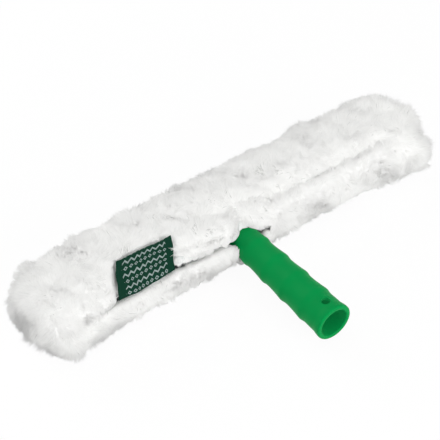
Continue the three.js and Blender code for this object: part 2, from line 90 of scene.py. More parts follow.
def linear(hex_colour):
    """An sRGB hex colour as linear red, green and blue."""
    values = [int(hex_colour[k:k + 2], 16) / 255 for k in (1, 3, 5)]
    return tuple(v / 12.92 if v <= 0.04045 else ((v + 0.055) / 1.055) ** 2.4 for v in values)


def ease(value):
    """0 below 0, 1 above 1 and a smooth step between."""
    t = np.clip(value, 0, 1)
    return t * t * (3 - 2 * t)


def mound(value, place, width, height=1.0):
    """A height at a place, falling smoothly to 0 within about two widths of it."""
    return height * np.exp(-(((value - place) / width) ** 2))


def within(points, *zones):
    """1 well inside all zones and 0 outside one. A zone is an axis, a place and the run from it over which it
    sets in, negative where it sets in towards lower values."""
    inside = 1.0
    for axis, place, run in zones:
        inside = inside * ease((points[..., axis] - place) / run)
    return inside


def unit(vectors):
    """Vectors of length 1."""
    return vectors / np.maximum(np.linalg.norm(vectors, axis=-1, keepdims=True), 1e-9)


def signed_power(value, power):
    """A value's size to a power, with the value's sign."""
    return np.sign(value) * np.abs(value) ** power


def piece_from(bm, name, body, material):
    """Makes the bmesh, in millimetres, an object of the washer and frees it."""
    bmesh.ops.scale(bm, vec=(MM, MM, MM), verts=bm.verts)
    mesh = bpy.data.meshes.new(name)
    bm.to_mesh(mesh)
    bm.free()
    return add_object(mesh, name, body, material)


def add_object(mesh, name, body, material):
    """Links a finished mesh as a smooth piece that rides on a body and takes a finish."""
    mesh.shade_smooth()
    mesh.materials.append(material)
    obj = bpy.data.objects.new(name, mesh)
    bpy.context.scene.collection.objects.link(obj)
    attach(obj, body)
    return obj


def block(low, high, soft, segments=3):
    """A bmesh of a block with softened edges, from its lowest to its highest corner."""
    bm = bmesh.new()
    bmesh.ops.create_cube(bm, size=1)
    bmesh.ops.scale(bm, vec=[b - a for a, b in zip(low, high)], verts=bm.verts)
    bmesh.ops.translate(bm, vec=[(a + b) / 2 for a, b in zip(low, high)], verts=bm.verts)
    bmesh.ops.bevel(bm, geom=bm.edges, affect="EDGES", offset=soft, segments=segments, profile=0.5,
                    material=-1)
    return bm


def add_wall(obj, thickness, offset):
    """Gives a sheet a thickness in millimetres: inwards at an offset of -1, outwards at 1."""
    wall = obj.modifiers.new("wall", "SOLIDIFY")
    wall.thickness, wall.offset = thickness * MM, offset


def apply_modifiers(obj):
    """Puts what the modifiers make into the object's own mesh."""
    graph = bpy.context.evaluated_depsgraph_get()
    mesh = bpy.data.meshes.new_from_object(obj.evaluated_get(graph))
    obj.modifiers.clear()
    obj.data = mesh


def sharpen(obj, degrees):
    """Keeps the edges that turn more than an angle crisp under smooth shading."""
    obj.data.set_sharp_from_angle(angle=math.radians(degrees))


# Materials

# Sockets of a colour Mix node, which share their names with those of its other kinds
MIX_FACTOR, MIX_FIRST, MIX_SECOND, MIX_RESULT = 0, 6, 7, 2
# A wave texture runs through this many radians over a length of 1 at a scale of 1
WAVE_RADIANS = 20


def add_node(tree, kind, inputs=None, **settings):
    """Adds a node, sets its properties, and fills or links its inputs."""
    node = tree.nodes.new(kind)
    for name, value in settings.items():
        setattr(node, name, value)
    set_inputs(tree, node, inputs or {})
    return node


def set_inputs(tree, node, inputs):
    """Fills or links inputs of a node."""
    for key, value in inputs.items():
        if isinstance(value, bpy.types.NodeSocket):
            tree.links.new(value, node.inputs[key])
        else:
            node.inputs[key].default_value = value


def new_material(name, coordinates):
    """A node material with its shader and output linked, and the coordinates that its patterns read."""
    material = bpy.data.materials.new(name)
    material.use_nodes = True
    tree = material.node_tree
    tree.nodes.clear()
    shader = add_node(tree, "ShaderNodeBsdfPrincipled")
    add_node(tree, "ShaderNodeOutputMaterial", {"Surface": shader.outputs["BSDF"]})
    return material, tree, shader, add_node(tree, "ShaderNodeTexCoord").outputs[coordinates]


def per_metre(size):
    """The scale of a pattern whose features are a size in millimetres apart."""
    return 1 / (size * MM)


def wave_scale(size):
    """The scale of a wave texture whose bands are a size in millimetres apart."""
    return per_metre(size) * math.tau / WAVE_RADIANS


def rgba(colour, share=1.0):
    """A share of a linear colour, with the alpha that a socket takes."""
    return (*[min(1, c * share) for c in colour], 1)


def moulded_polypropylene(name, colour):
    """Injection moulded polypropylene: an even satin colour over a fine spark-eroded grain."""
    material, tree, shader, place = new_material(name, "Object")
    flow = add_node(tree, "ShaderNodeTexNoise", {"Vector": place, "Scale": per_metre(28), "Detail": 3.0})
    grain = add_node(tree, "ShaderNodeTexNoise", {"Vector": place, "Scale": per_metre(0.45), "Detail": 2.0})
    tone = add_node(tree, "ShaderNodeMix", {
        MIX_FACTOR: flow.outputs["Fac"], MIX_FIRST: rgba(colour, 0.9), MIX_SECOND: rgba(colour, 1.06)},
        data_type="RGBA")
    shine = add_node(tree, "ShaderNodeMapRange", {"Value": flow.outputs["Fac"], "To Min": 0.4, "To Max": 0.5})
    bump = add_node(tree, "ShaderNodeBump", {
        "Height": grain.outputs["Fac"], "Strength": 0.25, "Distance": 0.05 * MM})
    set_inputs(tree, shader, {
        "Base Color": tone.outputs[MIX_RESULT],
        "Roughness": shine.outputs["Result"],
        "Normal": bump.outputs["Normal"],
        "Specular IOR Level": 0.05,
    })
    return material


def anodised_aluminium():
    """Extruded aluminium, satin anodised: long fine die lines along the bar."""
    material, tree, shader, place = new_material("anodised_aluminium", "Object")
    drawn = add_node(tree, "ShaderNodeMapping", {"Vector": place, "Scale": (0.02, 1, 1)})
    lines = add_node(tree, "ShaderNodeTexNoise", {
        "Vector": drawn.outputs["Vector"], "Scale": per_metre(0.6), "Detail": 3.0})
    tone = add_node(tree, "ShaderNodeMix", {
        MIX_FACTOR: lines.outputs["Fac"], MIX_FIRST: rgba(linear("#b4b8bc")),
        MIX_SECOND: rgba(linear("#cdd0d3"))}, data_type="RGBA")
    shine = add_node(tree, "ShaderNodeMapRange", {
        "Value": lines.outputs["Fac"], "To Min": 0.28, "To Max": 0.44})
    bump = add_node(tree, "ShaderNodeBump", {
        "Height": lines.outputs["Fac"], "Strength": 0.3, "Distance": 0.03 * MM})
    set_inputs(tree, shader, {
        "Base Color": tone.outputs[MIX_RESULT],
        "Metallic": 1.0,
        "Roughness": shine.outputs["Result"],
        "Normal": bump.outputs["Normal"],
    })
    return material


def stainless_steel():
    """Cold headed stainless steel: bright with a faint turned grain."""
    material, tree, shader, place = new_material("stainless_steel", "Object")
    grain = add_node(tree, "ShaderNodeTexNoise", {"Vector": place, "Scale": per_metre(0.3), "Detail": 2.0})
    tone = add_node(tree, "ShaderNodeMix", {
        MIX_FACTOR: grain.outputs["Fac"], MIX_FIRST: rgba(linear("#bfc2c4")),
        MIX_SECOND: rgba(linear("#dadcdd"))}, data_type="RGBA")
    shine = add_node(tree, "ShaderNodeMapRange", {
        "Value": grain.outputs["Fac"], "To Min": 0.2, "To Max": 0.38})
    set_inputs(tree, shader, {
        "Base Color": tone.outputs[MIX_RESULT],
        "Metallic": 1.0,
        "Roughness": shine.outputs["Result"],
    })
    return material


def packed_pile(colour):
    """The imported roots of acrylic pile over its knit: matt, fibrous, and softly mottled from tuft to tuft."""
    material, tree, shader, place = new_material("packed_acrylic_pile", "Object")
    tufts = add_node(tree, "ShaderNodeTexNoise", {"Vector": place, "Scale": per_metre(5), "Detail": 3.0})
    fibres = add_node(tree, "ShaderNodeTexNoise", {
        "Vector": place, "Scale": per_metre(0.9), "Detail": 3.0, "Distortion": 1.5})
    tone = add_node(tree, "ShaderNodeMix", {
        MIX_FACTOR: tufts.outputs["Fac"], MIX_FIRST: rgba(colour, 0.97), MIX_SECOND: rgba(colour)},
        data_type="RGBA")
    bump = add_node(tree, "ShaderNodeBump", {
        "Height": fibres.outputs["Fac"], "Strength": 0.5, "Distance": 0.5 * MM})
    set_inputs(tree, shader, {
        "Base Color": tone.outputs[MIX_RESULT],
        "Roughness": 0.95,
        "Normal": bump.outputs["Normal"],
        "Specular IOR Level": 0.1,
    })
    return material


def acrylic_pile(colour):
    """Acrylic pile yarn: matt fibres with a soft sheen, with painted shade a little deeper at the roots, dark
    flecks of painted shade between the tufts, and a tone that differs from tuft to tuft. Its map holds the
    yarn's tone across and the way from root to tip up."""
    material, tree, shader, place = new_material("acrylic_pile", "UV")
    split = add_node(tree, "ShaderNodeSeparateXYZ", {"Vector": place})
    # Painted shade between the fibres, very slightly green: the deep end of the yarns' tone, which the dark
    # flecks take
    shade = [c * share for c, share in zip(colour, (0.3, 0.31, 0.29))]
    tip = add_node(tree, "ShaderNodeMix", {
        MIX_FACTOR: split.outputs["X"], MIX_FIRST: rgba(shade), MIX_SECOND: rgba(colour)}, data_type="RGBA")
    # Painted shade at the roots: a yarn is a little darker there than at its tip
    yarn = add_node(tree, "ShaderNodeMix", {
        MIX_FACTOR: split.outputs["Y"], MIX_FIRST: rgba(colour, 0.95),
        MIX_SECOND: tip.outputs[MIX_RESULT]}, data_type="RGBA")
    set_inputs(tree, shader, {
        "Base Color": yarn.outputs[MIX_RESULT],
        "Roughness": 0.85,
        "Specular IOR Level": 0.1,
        "Sheen Weight": 0.6,
        "Sheen Roughness": 0.5,
    })
    return material


def woven_tape(name, colour, thread=0.7):
    """Woven polyester tape: a plain weave of bright threads. Its map is in metres."""
    material, tree, shader, place = new_material(name, "UV")
    warp, weft = (add_node(tree, "ShaderNodeTexWave", {
        "Vector": place, "Scale": wave_scale(thread), "Distortion": 0.4}, bands_direction=way)
        for way in ("X", "Y"))
    weave = add_node(tree, "ShaderNodeMath", {
        0: warp.outputs["Fac"], 1: weft.outputs["Fac"]}, operation="MULTIPLY").outputs["Value"]
    tone = add_node(tree, "ShaderNodeMix", {
        MIX_FACTOR: weave, MIX_FIRST: rgba(colour, 0.88), MIX_SECOND: rgba(colour)}, data_type="RGBA")
    bump = add_node(tree, "ShaderNodeBump", {"Height": weave, "Strength": 0.6, "Distance": 0.15 * MM})
    set_inputs(tree, shader, {
        "Base Color": tone.outputs[MIX_RESULT],
        "Roughness": 0.8,
        "Normal": bump.outputs["Normal"],
        "Specular IOR Level": 0.25,
    })
    return material


def nylon(name, colour):
    """Drawn nylon of a fastening tape: a little glossy and slightly milky."""
    material, tree, shader, place = new_material(name, "Object")
    cloud = add_node(tree, "ShaderNodeTexNoise", {"Vector": place, "Scale": per_metre(3), "Detail": 2.0})
    tone = add_node(tree, "ShaderNodeMix", {
        MIX_FACTOR: cloud.outputs["Fac"], MIX_FIRST: rgba(colour, 0.93), MIX_SECOND: rgba(colour)},
        data_type="RGBA")
    set_inputs(tree, shader, {
        "Base Color": tone.outputs[MIX_RESULT],
        "Roughness": 0.5,
        "Specular IOR Level": 0.4,
    })
    return material


def woven_label_cloth(ground, thread, row_pitch):
    """Damask label: pale weft threads float over a dark green ground in rows of zigzags and lozenges, between
    plain selvedges. Its map is in metres, across the label and up it."""
    material, tree, shader, place = new_material("damask_label", "UV")
    split = add_node(tree, "ShaderNodeSeparateXYZ", {"Vector": place})
    values = {"across": split.outputs["X"], "upward": split.outputs["Y"]}
    for name, way in (("threads", "Y"), ("picks", "X")):
        values[name] = add_node(tree, "ShaderNodeTexWave", {
            "Vector": place, "Scale": wave_scale(LABEL_THREAD), "Distortion": 0.6},
            bands_direction=way).outputs["Fac"]
    # The pattern's sums in order: what each is called, its operation, and the values or numbers that go in
    sums = (
        ("row", "DIVIDE", "upward", row_pitch),
        ("in_row", "FRACT", "row"),
        ("half_row", "MULTIPLY", "row", 0.5),
        ("in_pair", "FRACT", "half_row"),
        ("zigzag_row", "GREATER_THAN", "in_pair", 0.5),
        ("lozenge_row", "SUBTRACT", 1.0, "zigzag_row"),
        ("climb", "PINGPONG", "across", ZIGZAG_LENGTH / 2),
        ("zigzag_height", "MULTIPLY_ADD", "climb", ZIGZAG_RISE / (ZIGZAG_LENGTH / 2), ZIGZAG_FOOT),
        ("zigzag", "COMPARE", "in_row", "zigzag_height", ZIGZAG_WIDTH),
        ("off_middle", "SUBTRACT", "in_row", 0.5),
        ("from_middle", "ABSOLUTE", "off_middle"),
        ("step", "PINGPONG", "across", LOZENGE_LENGTH / 2),
        ("reach", "MULTIPLY_ADD", "step", LOZENGE_SLOPE / LOZENGE_LENGTH, "from_middle"),
        ("past_hole", "GREATER_THAN", "reach", LOZENGE_HOLE),
        ("in_edge", "LESS_THAN", "reach", LOZENGE_EDGE),
        ("lozenge", "MULTIPLY", "past_hole", "in_edge"),
        ("zigzags", "MULTIPLY", "zigzag_row", "zigzag"),
        ("motif", "MULTIPLY_ADD", "lozenge_row", "lozenge", "zigzags"),
        ("past_left", "GREATER_THAN", "across", LABEL_SELVEDGE),
        ("before_right", "LESS_THAN", "across", LABEL_WIDTH - LABEL_SELVEDGE),
        ("in_field", "MULTIPLY", "past_left", "before_right"),
        ("field", "MULTIPLY", "motif", "in_field"),
        ("lit_threads", "MULTIPLY_ADD", "threads", 0.5, 0.5),
        ("floats", "MULTIPLY", "field", "lit_threads"),
        ("half_threads", "MULTIPLY", "threads", 0.5),
        ("weave", "MULTIPLY_ADD", "picks", 0.5, "half_threads"),
    )
    for name, operation, *terms in sums:
        inputs = {k: values.get(term, term) for k, term in enumerate(terms)}
        values[name] = add_node(tree, "ShaderNodeMath", inputs, operation=operation).outputs["Value"]
    cloth = add_node(tree, "ShaderNodeMix", {
        MIX_FACTOR: values["weave"], MIX_FIRST: rgba(ground, 0.75), MIX_SECOND: rgba(ground, 1.2)},
        data_type="RGBA")
    colour = add_node(tree, "ShaderNodeMix", {
        MIX_FACTOR: values["floats"], MIX_FIRST: cloth.outputs[MIX_RESULT], MIX_SECOND: rgba(thread)},
        data_type="RGBA")
    bump = add_node(tree, "ShaderNodeBump", {
        "Height": values["weave"], "Strength": 0.5, "Distance": 0.12 * MM})
    set_inputs(tree, shader, {
        "Base Color": colour.outputs[MIX_RESULT],
        "Roughness": 0.8,
        "Normal": bump.outputs["Normal"],
        "Specular IOR Level": 0.15,
    })
    return material


# The base cloth under the pile. Sizes from here on are in millimetres, but for the settings and the stage.
# Angles round the section run from the back over the top to the front

PILE_ABOVE, PILE_BELOW, PILE_AT_SIDES, PILE_AT_ENDS = 8, 3.5, 8, 6.5
BASE_MIDDLE = (SLEEVE_MIDDLE, SLEEVE_HEIGHT / 2 - (PILE_ABOVE - PILE_BELOW) / 2)
BASE_HALF_WIDTH = SLEEVE_HALF_WIDTH - PILE_AT_SIDES
BASE_HALF_HEIGHT = SLEEVE_HEIGHT / 2 - (PILE_ABOVE + PILE_BELOW) / 2
BASE_HALF_LENGTH = HALF_LENGTH - PILE_AT_ENDS
# A place in the sleeve, which every cloth faces away from
INSIDE = Vector((0, BASE_MIDDLE[0], BASE_MIDDLE[1]))
# The section is a superellipse: 2 would be an ellipse, and more is squarer
HULL_POWER = 2.4
# How round the sleeve's ends are: in plan at the front and the back of each, and above and below
LEFT_CORNERS, RIGHT_CORNERS, END_ROUND = (12, 18), (9, 22), 9
LIP_POINTS, END_POINTS = 10, 110
# The hull's points lie at the same angles all along the sleeve between these two
STEADY_LOW, STEADY_HIGH = math.radians(240), math.radians(468)
STEADY_POINTS, FREE_POINTS = 77, 15
# Distances before the seam of the end panel's first rings, its steps round the corner, and its crown
END_OVERLAPS, CORNER_STEPS, CROWN_STEPS = (7, 4, 2), 9, 9
CROWN, CROWN_FORWARD = 1.5, 6

# How the soft ends lean: rows of how far outwards, and the zones in which they do. The left one is tucked in
# below and at its upper back, and the right one flares out low at the front and falls away above. A zone is
# an axis, a place and the run over which it sets in
END_ZONE = (X, 150, 25)
LOW_LEFT = (Z, 40, -36)
LEFT_LEANS = ((-6, LOW_LEFT, (Y, 40, -26)), (-8, LOW_LEFT, (Y, 16, -32)), (7, LOW_LEFT, (Y, -22, -14)),
              (-14, (Z, 16, 18), (Y, -4, 22)))
RIGHT_LEANS = ((12, (Z, 20, -14), (Y, -14, -16)), (-10, (Z, 18, 20), (Y, -8, -20)), (-4, (Y, 4, 20)),
               (-6, (Z, 26, 16), (Y, -14, 16)))
# A bulge of the left end's low front: place along the sleeve, width and depth, and its zones
LEFT_BULGE, LEFT_BULGE_ZONES = (-168, 17, 6), ((Y, -12, -16), (Z, 32, -18))

# The pile is pressed thin low on the front, by this share
THIN_SHARE = 0.42
THIN_ZONES = ((Z, 22, -12), (Y, -6, -12), (X, -135, 35), (X, 140, -25))

# A soft valley along the top of the front roll: place along the sleeve and angle
CREASE = np.array([(-60, 98), (-32, 105), (1, 112), (30, 121), (60, 126), (80, 129), (120, 127), (150, 125)])
CREASE_DEPTH, CREASE_WIDTH = 3.6, math.radians(12)
CREASE_ZONES = ((X, CREASE[0, 0], 30), (X, CREASE[-1, 0], -12))
# Soft folds on the top and back, as the frame's sleeve has them: depth, then length along and turns round
FOLD_DEPTH, FOLDS = 3, ((96, 2), (67, -3), (51, 5))
FOLD_ZONES = ((Y, -14, 10), (Z, 8, 10), (X, END_SEAM, -10), (X, -END_SEAM, 10))
# Lumps of a full sleeve, as depth, size and seed, and mounds of its tufts
LUMPS = ((0.55, 42, 11), (0.3, 15, 31))
MOUNDS = ((0.5, 13, 51), (0.3, 6.5, 61))
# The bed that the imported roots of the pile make, and how high above the floor it stays
PILE_BED, BED_CLEARANCE = 4.6, 1.2

# The slit: its ends, the run over which it opens, its height, and how it rises to the label and dips to the
# neck, as place, width and height
FLAP_GAP, SLIT_RUN = 0.4, 6
SLIT_LEFT, SLIT_RIGHT = -152, FLAP_RIGHT + FLAP_GAP
SLIT_HEIGHT, SLIT_RISE, SLIT_DIP = 27.1, (-85, 38, 6.2), (0, 16, -7.1)
# How far the lips reach down and up the hull, and how the upper one parts beside the neck and arches over it
LOWER_REACH, UPPER_REACH = 7, 9.5
SLIT_PARTING, NECK_ARCH = (-29, 15, 2), (-3, 12, 15)
NECK_ROOM, NECK_SOFTNESS, NECK_ZONE = 13.6, 6, (Y, -16, -8)
# Points are never taken to be closer than this to the handle's axis
LEAST_RADIUS = 0.1
# Places and widths of the stretches where the lips have their form, and their pile, at the neck
NECK_FORM, NECK_PILE = (0, 14), (-14, 24)
# Lips of the slit as distance in front of the bar's axis and height over the slit's line, edge first
LOWER_LIP = np.array([(-24, -8), (-27, -5), (-29.6, -2.2), (-31.8, 0.6), (-33.2, 1.2), (-34, -1),
                      (-33.8, -4.5)])
UPPER_LIP = np.array([(-24, 2), (-27.6, 3.8), (-30, 6.2), (-31, 8.2)])
LOWER_LIP_AT_NECK = np.array([-8, -6, -4.6, -3.8, -4, -5.2, -7])
UPPER_LIP_AT_NECK = np.array([(-21, 1), (-23.5, 1.5), (-25.5, 3), (-27, 7)])
# The lips behind the closing flap, as plain places, edge first, with the gap between them and their angles
LOWER_RECESS = np.array([(-22.3, 20), (-22.3, 13), (-22.6, 10.2), (-24, 9.1)])
UPPER_RECESS = np.array([(-22.3, 33), (-22.3, 39), (-22.5, 41.5)])
RECESS_GAP, RECESS_RUN = 2.4, 0.3
RECESS_START = FLAP_LEFT - RECESS_RUN
RECESS_LOW, RECESS_HIGH = math.radians(225), math.radians(488)
# How much pile the lips bear, edge first
LOWER_BARE = np.array([0, 0, 0, 0, 0, 0.2, 0.7, 1, 1, 1])
UPPER_BARE = np.array([0, 0, 0, 0.1, 0.3, 0.55, 0.8, 1, 1, 1])
LOWER_BARE_AT_NECK = np.array([0, 0, 0, 0.15, 0.35, 0.55, 0.8, 1, 1, 1])
UPPER_BARE_AT_NECK = np.array([0, 0.1, 0.2, 0.25, 0.3, 0.4, 0.5, 0.6, 0.75, 0.9])
RECESS_BARE = np.array([0, 0, 0, 0, 0, 0, 0, 0.3, 0.7, 1])

# Steps from ring to ring along the sleeve and round the neck, and the least step that is kept
RING_STEP, NECK_STEP, NECK_STRETCH, LEAST_STEP = 2.0, 1.2, 24, 0.35

# The label's corners as places along the sleeve and angles: low left and right, then high left and right
LABEL_LOW = np.array([(-119.7, 159.2), (-71.8, 155.5)])
LABEL_HIGH = np.array([(-106.5, 106), (-59.8, 108.8)])
# How far its left edge bows, how far its section lies below the middle, and how far the cloth is pressed
# beyond its outline: to its left and right with a run, and below and above it as shares of its height
LABEL_BOW, LABEL_DROP = 2, 0.25
UNDER_LEFT, UNDER_RIGHT, UNDER_RUN = 3.8, 3.5, 3
UNDER_BELOW_SHARE, UNDER_ABOVE_SHARE, UNDER_RUN_SHARE = 0.14, 0.1, 0.1
# How much less pile the cloth bears under the label
UNDER_THIN_SHARE = 0.85


def waves(points, size, seed, count=14, spread=(0.6, 1.4)):
    """A smooth random value from about -1 to 1 at each point, with features of a size."""
    rng = np.random.default_rng(seed)
    total = np.zeros(len(points))
    for _ in range(count):
        direction = rng.normal(size=3)
        direction *= math.tau / size * rng.uniform(*spread) / np.linalg.norm(direction)
        total += np.sin(points @ direction + rng.uniform(0, math.tau))
    return total / math.sqrt(count)


def wave_vectors(points, size, seed):
    """A smooth random vector at each point."""
    return np.stack([waves(points, size, seed + k) for k in range(3)], axis=1)


def polyline(points, count):
    """Points spaced evenly along a line through some points."""
    steps = np.r_[0, np.cumsum(np.linalg.norm(np.diff(points, axis=0), axis=1))]
    places = np.linspace(0, steps[-1], count)
    return np.stack([np.interp(places, steps, points[:, k]) for k in range(points.shape[1])], axis=1)


def corner_radius(theta, side):
    """The end's corner in plan, which runs from its front radius to its back radius."""
    front, back = LEFT_CORNERS if side < 0 else RIGHT_CORNERS
    return front + (back - front) * np.maximum(np.cos(theta), 0) ** 2


def hull(theta, turn, side):
    """The base cloth's section at angles round it, drawn in by a turn round the end's corner."""
    inset = 1 - np.cos(turn)
    y = (BASE_HALF_WIDTH - corner_radius(theta, side) * inset) * signed_power(np.cos(theta), 2 / HULL_POWER)
    z = (BASE_HALF_HEIGHT - END_ROUND * inset) * signed_power(np.sin(theta), 2 / HULL_POWER)
    return np.stack([BASE_MIDDLE[0] + y, BASE_MIDDLE[1] + z], axis=-1)


def corner_turn(theta, x):
    """How far round the end's corner a place along the sleeve lies."""
    radius = corner_radius(theta, x)
    return np.arcsin(np.clip((abs(x) - BASE_HALF_LENGTH + radius) / radius, 0, 1))


def hull_at(theta, x):
    """The section at a place along the sleeve."""
    return hull(theta, corner_turn(theta, x), x)


def steady_angles(low, high):
    """Angles round the hull between two, which only move from station to station near its two edges."""
    return np.r_[np.linspace(low, STEADY_LOW, FREE_POINTS)[1:],
                 np.linspace(STEADY_LOW, STEADY_HIGH, STEADY_POINTS)[1:-1],
                 np.linspace(STEADY_HIGH, high, FREE_POINTS)[:-1]]


def leaned(points):
    """Shapes the sleeve's two soft ends."""
    side = np.sign(points[..., 0])
    left, right = (sum(reach * within(points, *zones) for reach, *zones in leans)
                   for leans in (LEFT_LEANS, RIGHT_LEANS))
    outwards = within(np.abs(points), END_ZONE) * np.where(side < 0, left, right)
    bulge = mound(points[..., 0], *LEFT_BULGE) * within(points, *LEFT_BULGE_ZONES)
    points[..., 0] += side * outwards
    points[..., 1] -= bulge
    return points


def front_angle(z):
    """How far above the middle a height lies on the section's front, as an angle."""
    return np.arcsin(signed_power((z - BASE_MIDDLE[1]) / BASE_HALF_HEIGHT, HULL_POWER / 2))


def slit_height(x):
    """The height of the slit's line on the front."""
    return SLIT_HEIGHT + mound(x, *SLIT_RISE) + mound(x, *SLIT_DIP)


def lips(x):
    """The lower lip and the upper lip at a place along the sleeve, each from its edge to the hull, and the
    angles at which the hull begins and ends."""
    slit = slit_height(x)
    if RECESS_START < x < SLIT_RIGHT:
        edges = [(LOWER_RECESS[0, 0], slit + way * RECESS_GAP / 2) for way in (-1, 1)]
        lower, upper = (polyline(np.vstack([[edge], recess, hull_at(np.array([angle]), x)]), LIP_POINTS)
                        for edge, recess, angle in zip(edges, (LOWER_RECESS, UPPER_RECESS),
                                                       (RECESS_LOW, RECESS_HIGH)))
        return lower, upper, RECESS_LOW, RECESS_HIGH
    bottom, top = slit - LOWER_REACH, slit + UPPER_REACH + mound(x, *NECK_ARCH)
    lower = hull_at(math.pi - front_angle(np.linspace(slit, bottom, LIP_POINTS)), x)
    upper = hull_at(3 * math.pi - front_angle(np.linspace(slit, top, LIP_POINTS)), x)
    if x < SLIT_RIGHT:
        near = mound(x, *NECK_FORM)
        opened = ease((x - SLIT_LEFT) / SLIT_RUN)
        open_lower, open_upper = LOWER_LIP.copy(), UPPER_LIP.copy()
        open_lower[:, 1] += near * (LOWER_LIP_AT_NECK - open_lower[:, 1]) + slit
        open_upper += near * (UPPER_LIP_AT_NECK - open_upper) + (0, slit + mound(x, *SLIT_PARTING))
        open_lower = polyline(np.vstack([open_lower, lower[-1:]]), LIP_POINTS)
        open_upper = polyline(np.vstack([open_upper, upper[-1:]]), LIP_POINTS)
        lower += opened * (open_lower - lower)
        upper += opened * (open_upper - upper)
    return lower, upper, math.pi - front_angle(bottom), 3 * math.pi - front_angle(top)


def from_neck(points):
    """How points lie from the handle's axis, across it, and how far away they are."""
    away = points[:, [X, Z]] - (0, AXIS_HEIGHT)
    return away, np.maximum(np.linalg.norm(away, axis=1), LEAST_RADIUS)


def round_neck(points):
    """Pushes points that are in front of the bar out of the handle's neck, softly."""
    away, radius = from_neck(points)
    pushed = (radius ** NECK_SOFTNESS + NECK_ROOM ** NECK_SOFTNESS) ** (1 / NECK_SOFTNESS)
    scale = 1 + within(points, NECK_ZONE) * (pushed / radius - 1)
    points[:, [X, Z]] = (0, AXIS_HEIGHT) + away * scale[:, None]
    return points


def slack(points):
    """Gives cloth the soft folds, the valley and the lumps of a full sleeve."""
    flat = points.reshape(-1, 3)
    across = signed_power((flat[:, 1] - BASE_MIDDLE[0]) / BASE_HALF_WIDTH, HULL_POWER / 2)
    up = signed_power((flat[:, 2] - BASE_MIDDLE[1]) / BASE_HALF_HEIGHT, HULL_POWER / 2)
    angle = np.arctan2(up, across)
    outward = np.stack([np.zeros(len(flat)), np.cos(angle), np.sin(angle)], axis=1)
    outward = signed_power(outward, 2 / HULL_POWER)
    folds = sum(np.sin(math.tau * flat[:, 0] / length + turns * angle) for length, turns in FOLDS)
    folds /= len(FOLDS)
    height = FOLD_DEPTH / 2 * folds * within(flat, *FOLD_ZONES)
    crease = np.radians(np.interp(flat[:, 0], CREASE[:, 0], CREASE[:, 1]))
    height -= mound(angle, crease, CREASE_WIDTH, CREASE_DEPTH) * within(flat, *CREASE_ZONES)
    moved = flat + height[:, None] * outward
    for depth, size, seed in LUMPS:
        moved = moved + depth * wave_vectors(flat, size, seed)
    return moved.reshape(points.shape)


def label_place(across, upward, inset):
    """A point of the label's ground, across it and up it from 0 to 1, a depth inside the pile's surface."""
    low = LABEL_LOW[0] + (LABEL_LOW[1] - LABEL_LOW[0]) * across[..., None]
    high = LABEL_HIGH[0] + (LABEL_HIGH[1] - LABEL_HIGH[0]) * across[..., None]
    x, angle = np.moveaxis(low + (high - low) * upward[..., None], -1, 0)
    angle = np.radians(angle)
    x = x - LABEL_BOW * 4 * upward * (1 - upward) * (1 - across)
    y = SLEEVE_MIDDLE - (SLEEVE_HALF_WIDTH - inset) * np.abs(np.cos(angle)) ** (2 / HULL_POWER)
    middle = SLEEVE_HEIGHT / 2 - LABEL_DROP
    z = middle + (SLEEVE_HEIGHT - middle - inset) * np.sin(angle) ** (2 / HULL_POWER)
    return np.stack([x, y, z], axis=-1)


def under_label(points):
    """How far points lie within the label's outline, from 0 to 1, as seen from the sleeve's middle."""
    up = np.abs((points[:, 2] - BASE_MIDDLE[1]) / BASE_HALF_HEIGHT) ** (HULL_POWER / 2)
    across = signed_power((points[:, 1] - SLEEVE_MIDDLE) / BASE_HALF_WIDTH, HULL_POWER / 2)
    bottom, top = np.radians(LABEL_LOW[:, 1].mean()), np.radians(LABEL_HIGH[:, 1].mean())
    upward = (np.arctan2(up, across) - bottom) / (top - bottom)
    left, right = (low + (high - low) * upward for low, high in zip(LABEL_LOW[:, 0], LABEL_HIGH[:, 0]))
    inside = ease((points[:, 0] - left + UNDER_LEFT) / UNDER_RUN)
    inside *= ease((right + UNDER_RIGHT - points[:, 0]) / UNDER_RUN)
    inside *= ease((upward + UNDER_BELOW_SHARE) / UNDER_RUN_SHARE)
    inside *= ease((1 + UNDER_ABOVE_SHARE - upward) / UNDER_RUN_SHARE)
    return inside * (points[:, 2] > BASE_MIDDLE[1])


def cloth_stations():
    """Places along the sleeve where the cloth has a ring: close together round the neck."""
    along = np.arange(-END_SEAM, END_SEAM, RING_STEP)
    at_neck = np.arange(-NECK_STRETCH, NECK_STRETCH, NECK_STEP)
    at_ends = [RECESS_START - RECESS_RUN, FLAP_LEFT, FLAP_RIGHT, SLIT_RIGHT + FLAP_GAP / 2, SLIT_LEFT,
               SLIT_LEFT + SLIT_RUN / 2, SLIT_LEFT + SLIT_RUN, END_SEAM]
    merged = np.unique(np.round(np.concatenate([along, at_neck, at_ends]), 2))
    return merged[np.r_[True, np.diff(merged) > LEAST_STEP]]


def bedded(points, pile, side=1):
    """Raises the cloth along its normals to the bed of its pile, with the soft mounds of the tufts."""
    flat = points.reshape(-1, 3)
    bed = PILE_BED + sum(height * waves(flat, size, seed) for height, size, seed in MOUNDS)
    along, around = np.gradient(points, axis=0), np.gradient(points, axis=1)
    points = points + unit(np.cross(around, along)) * (side * bed.reshape(pile.shape) * pile)[..., None]
    points[..., 2] = np.maximum(points[..., 2], BED_CLEARANCE)
    return points


def pile_share(points):
    """How much pile the sleeve bears for being pressed on the surface low on its front."""
    return 1 - THIN_SHARE * within(points, *THIN_ZONES)


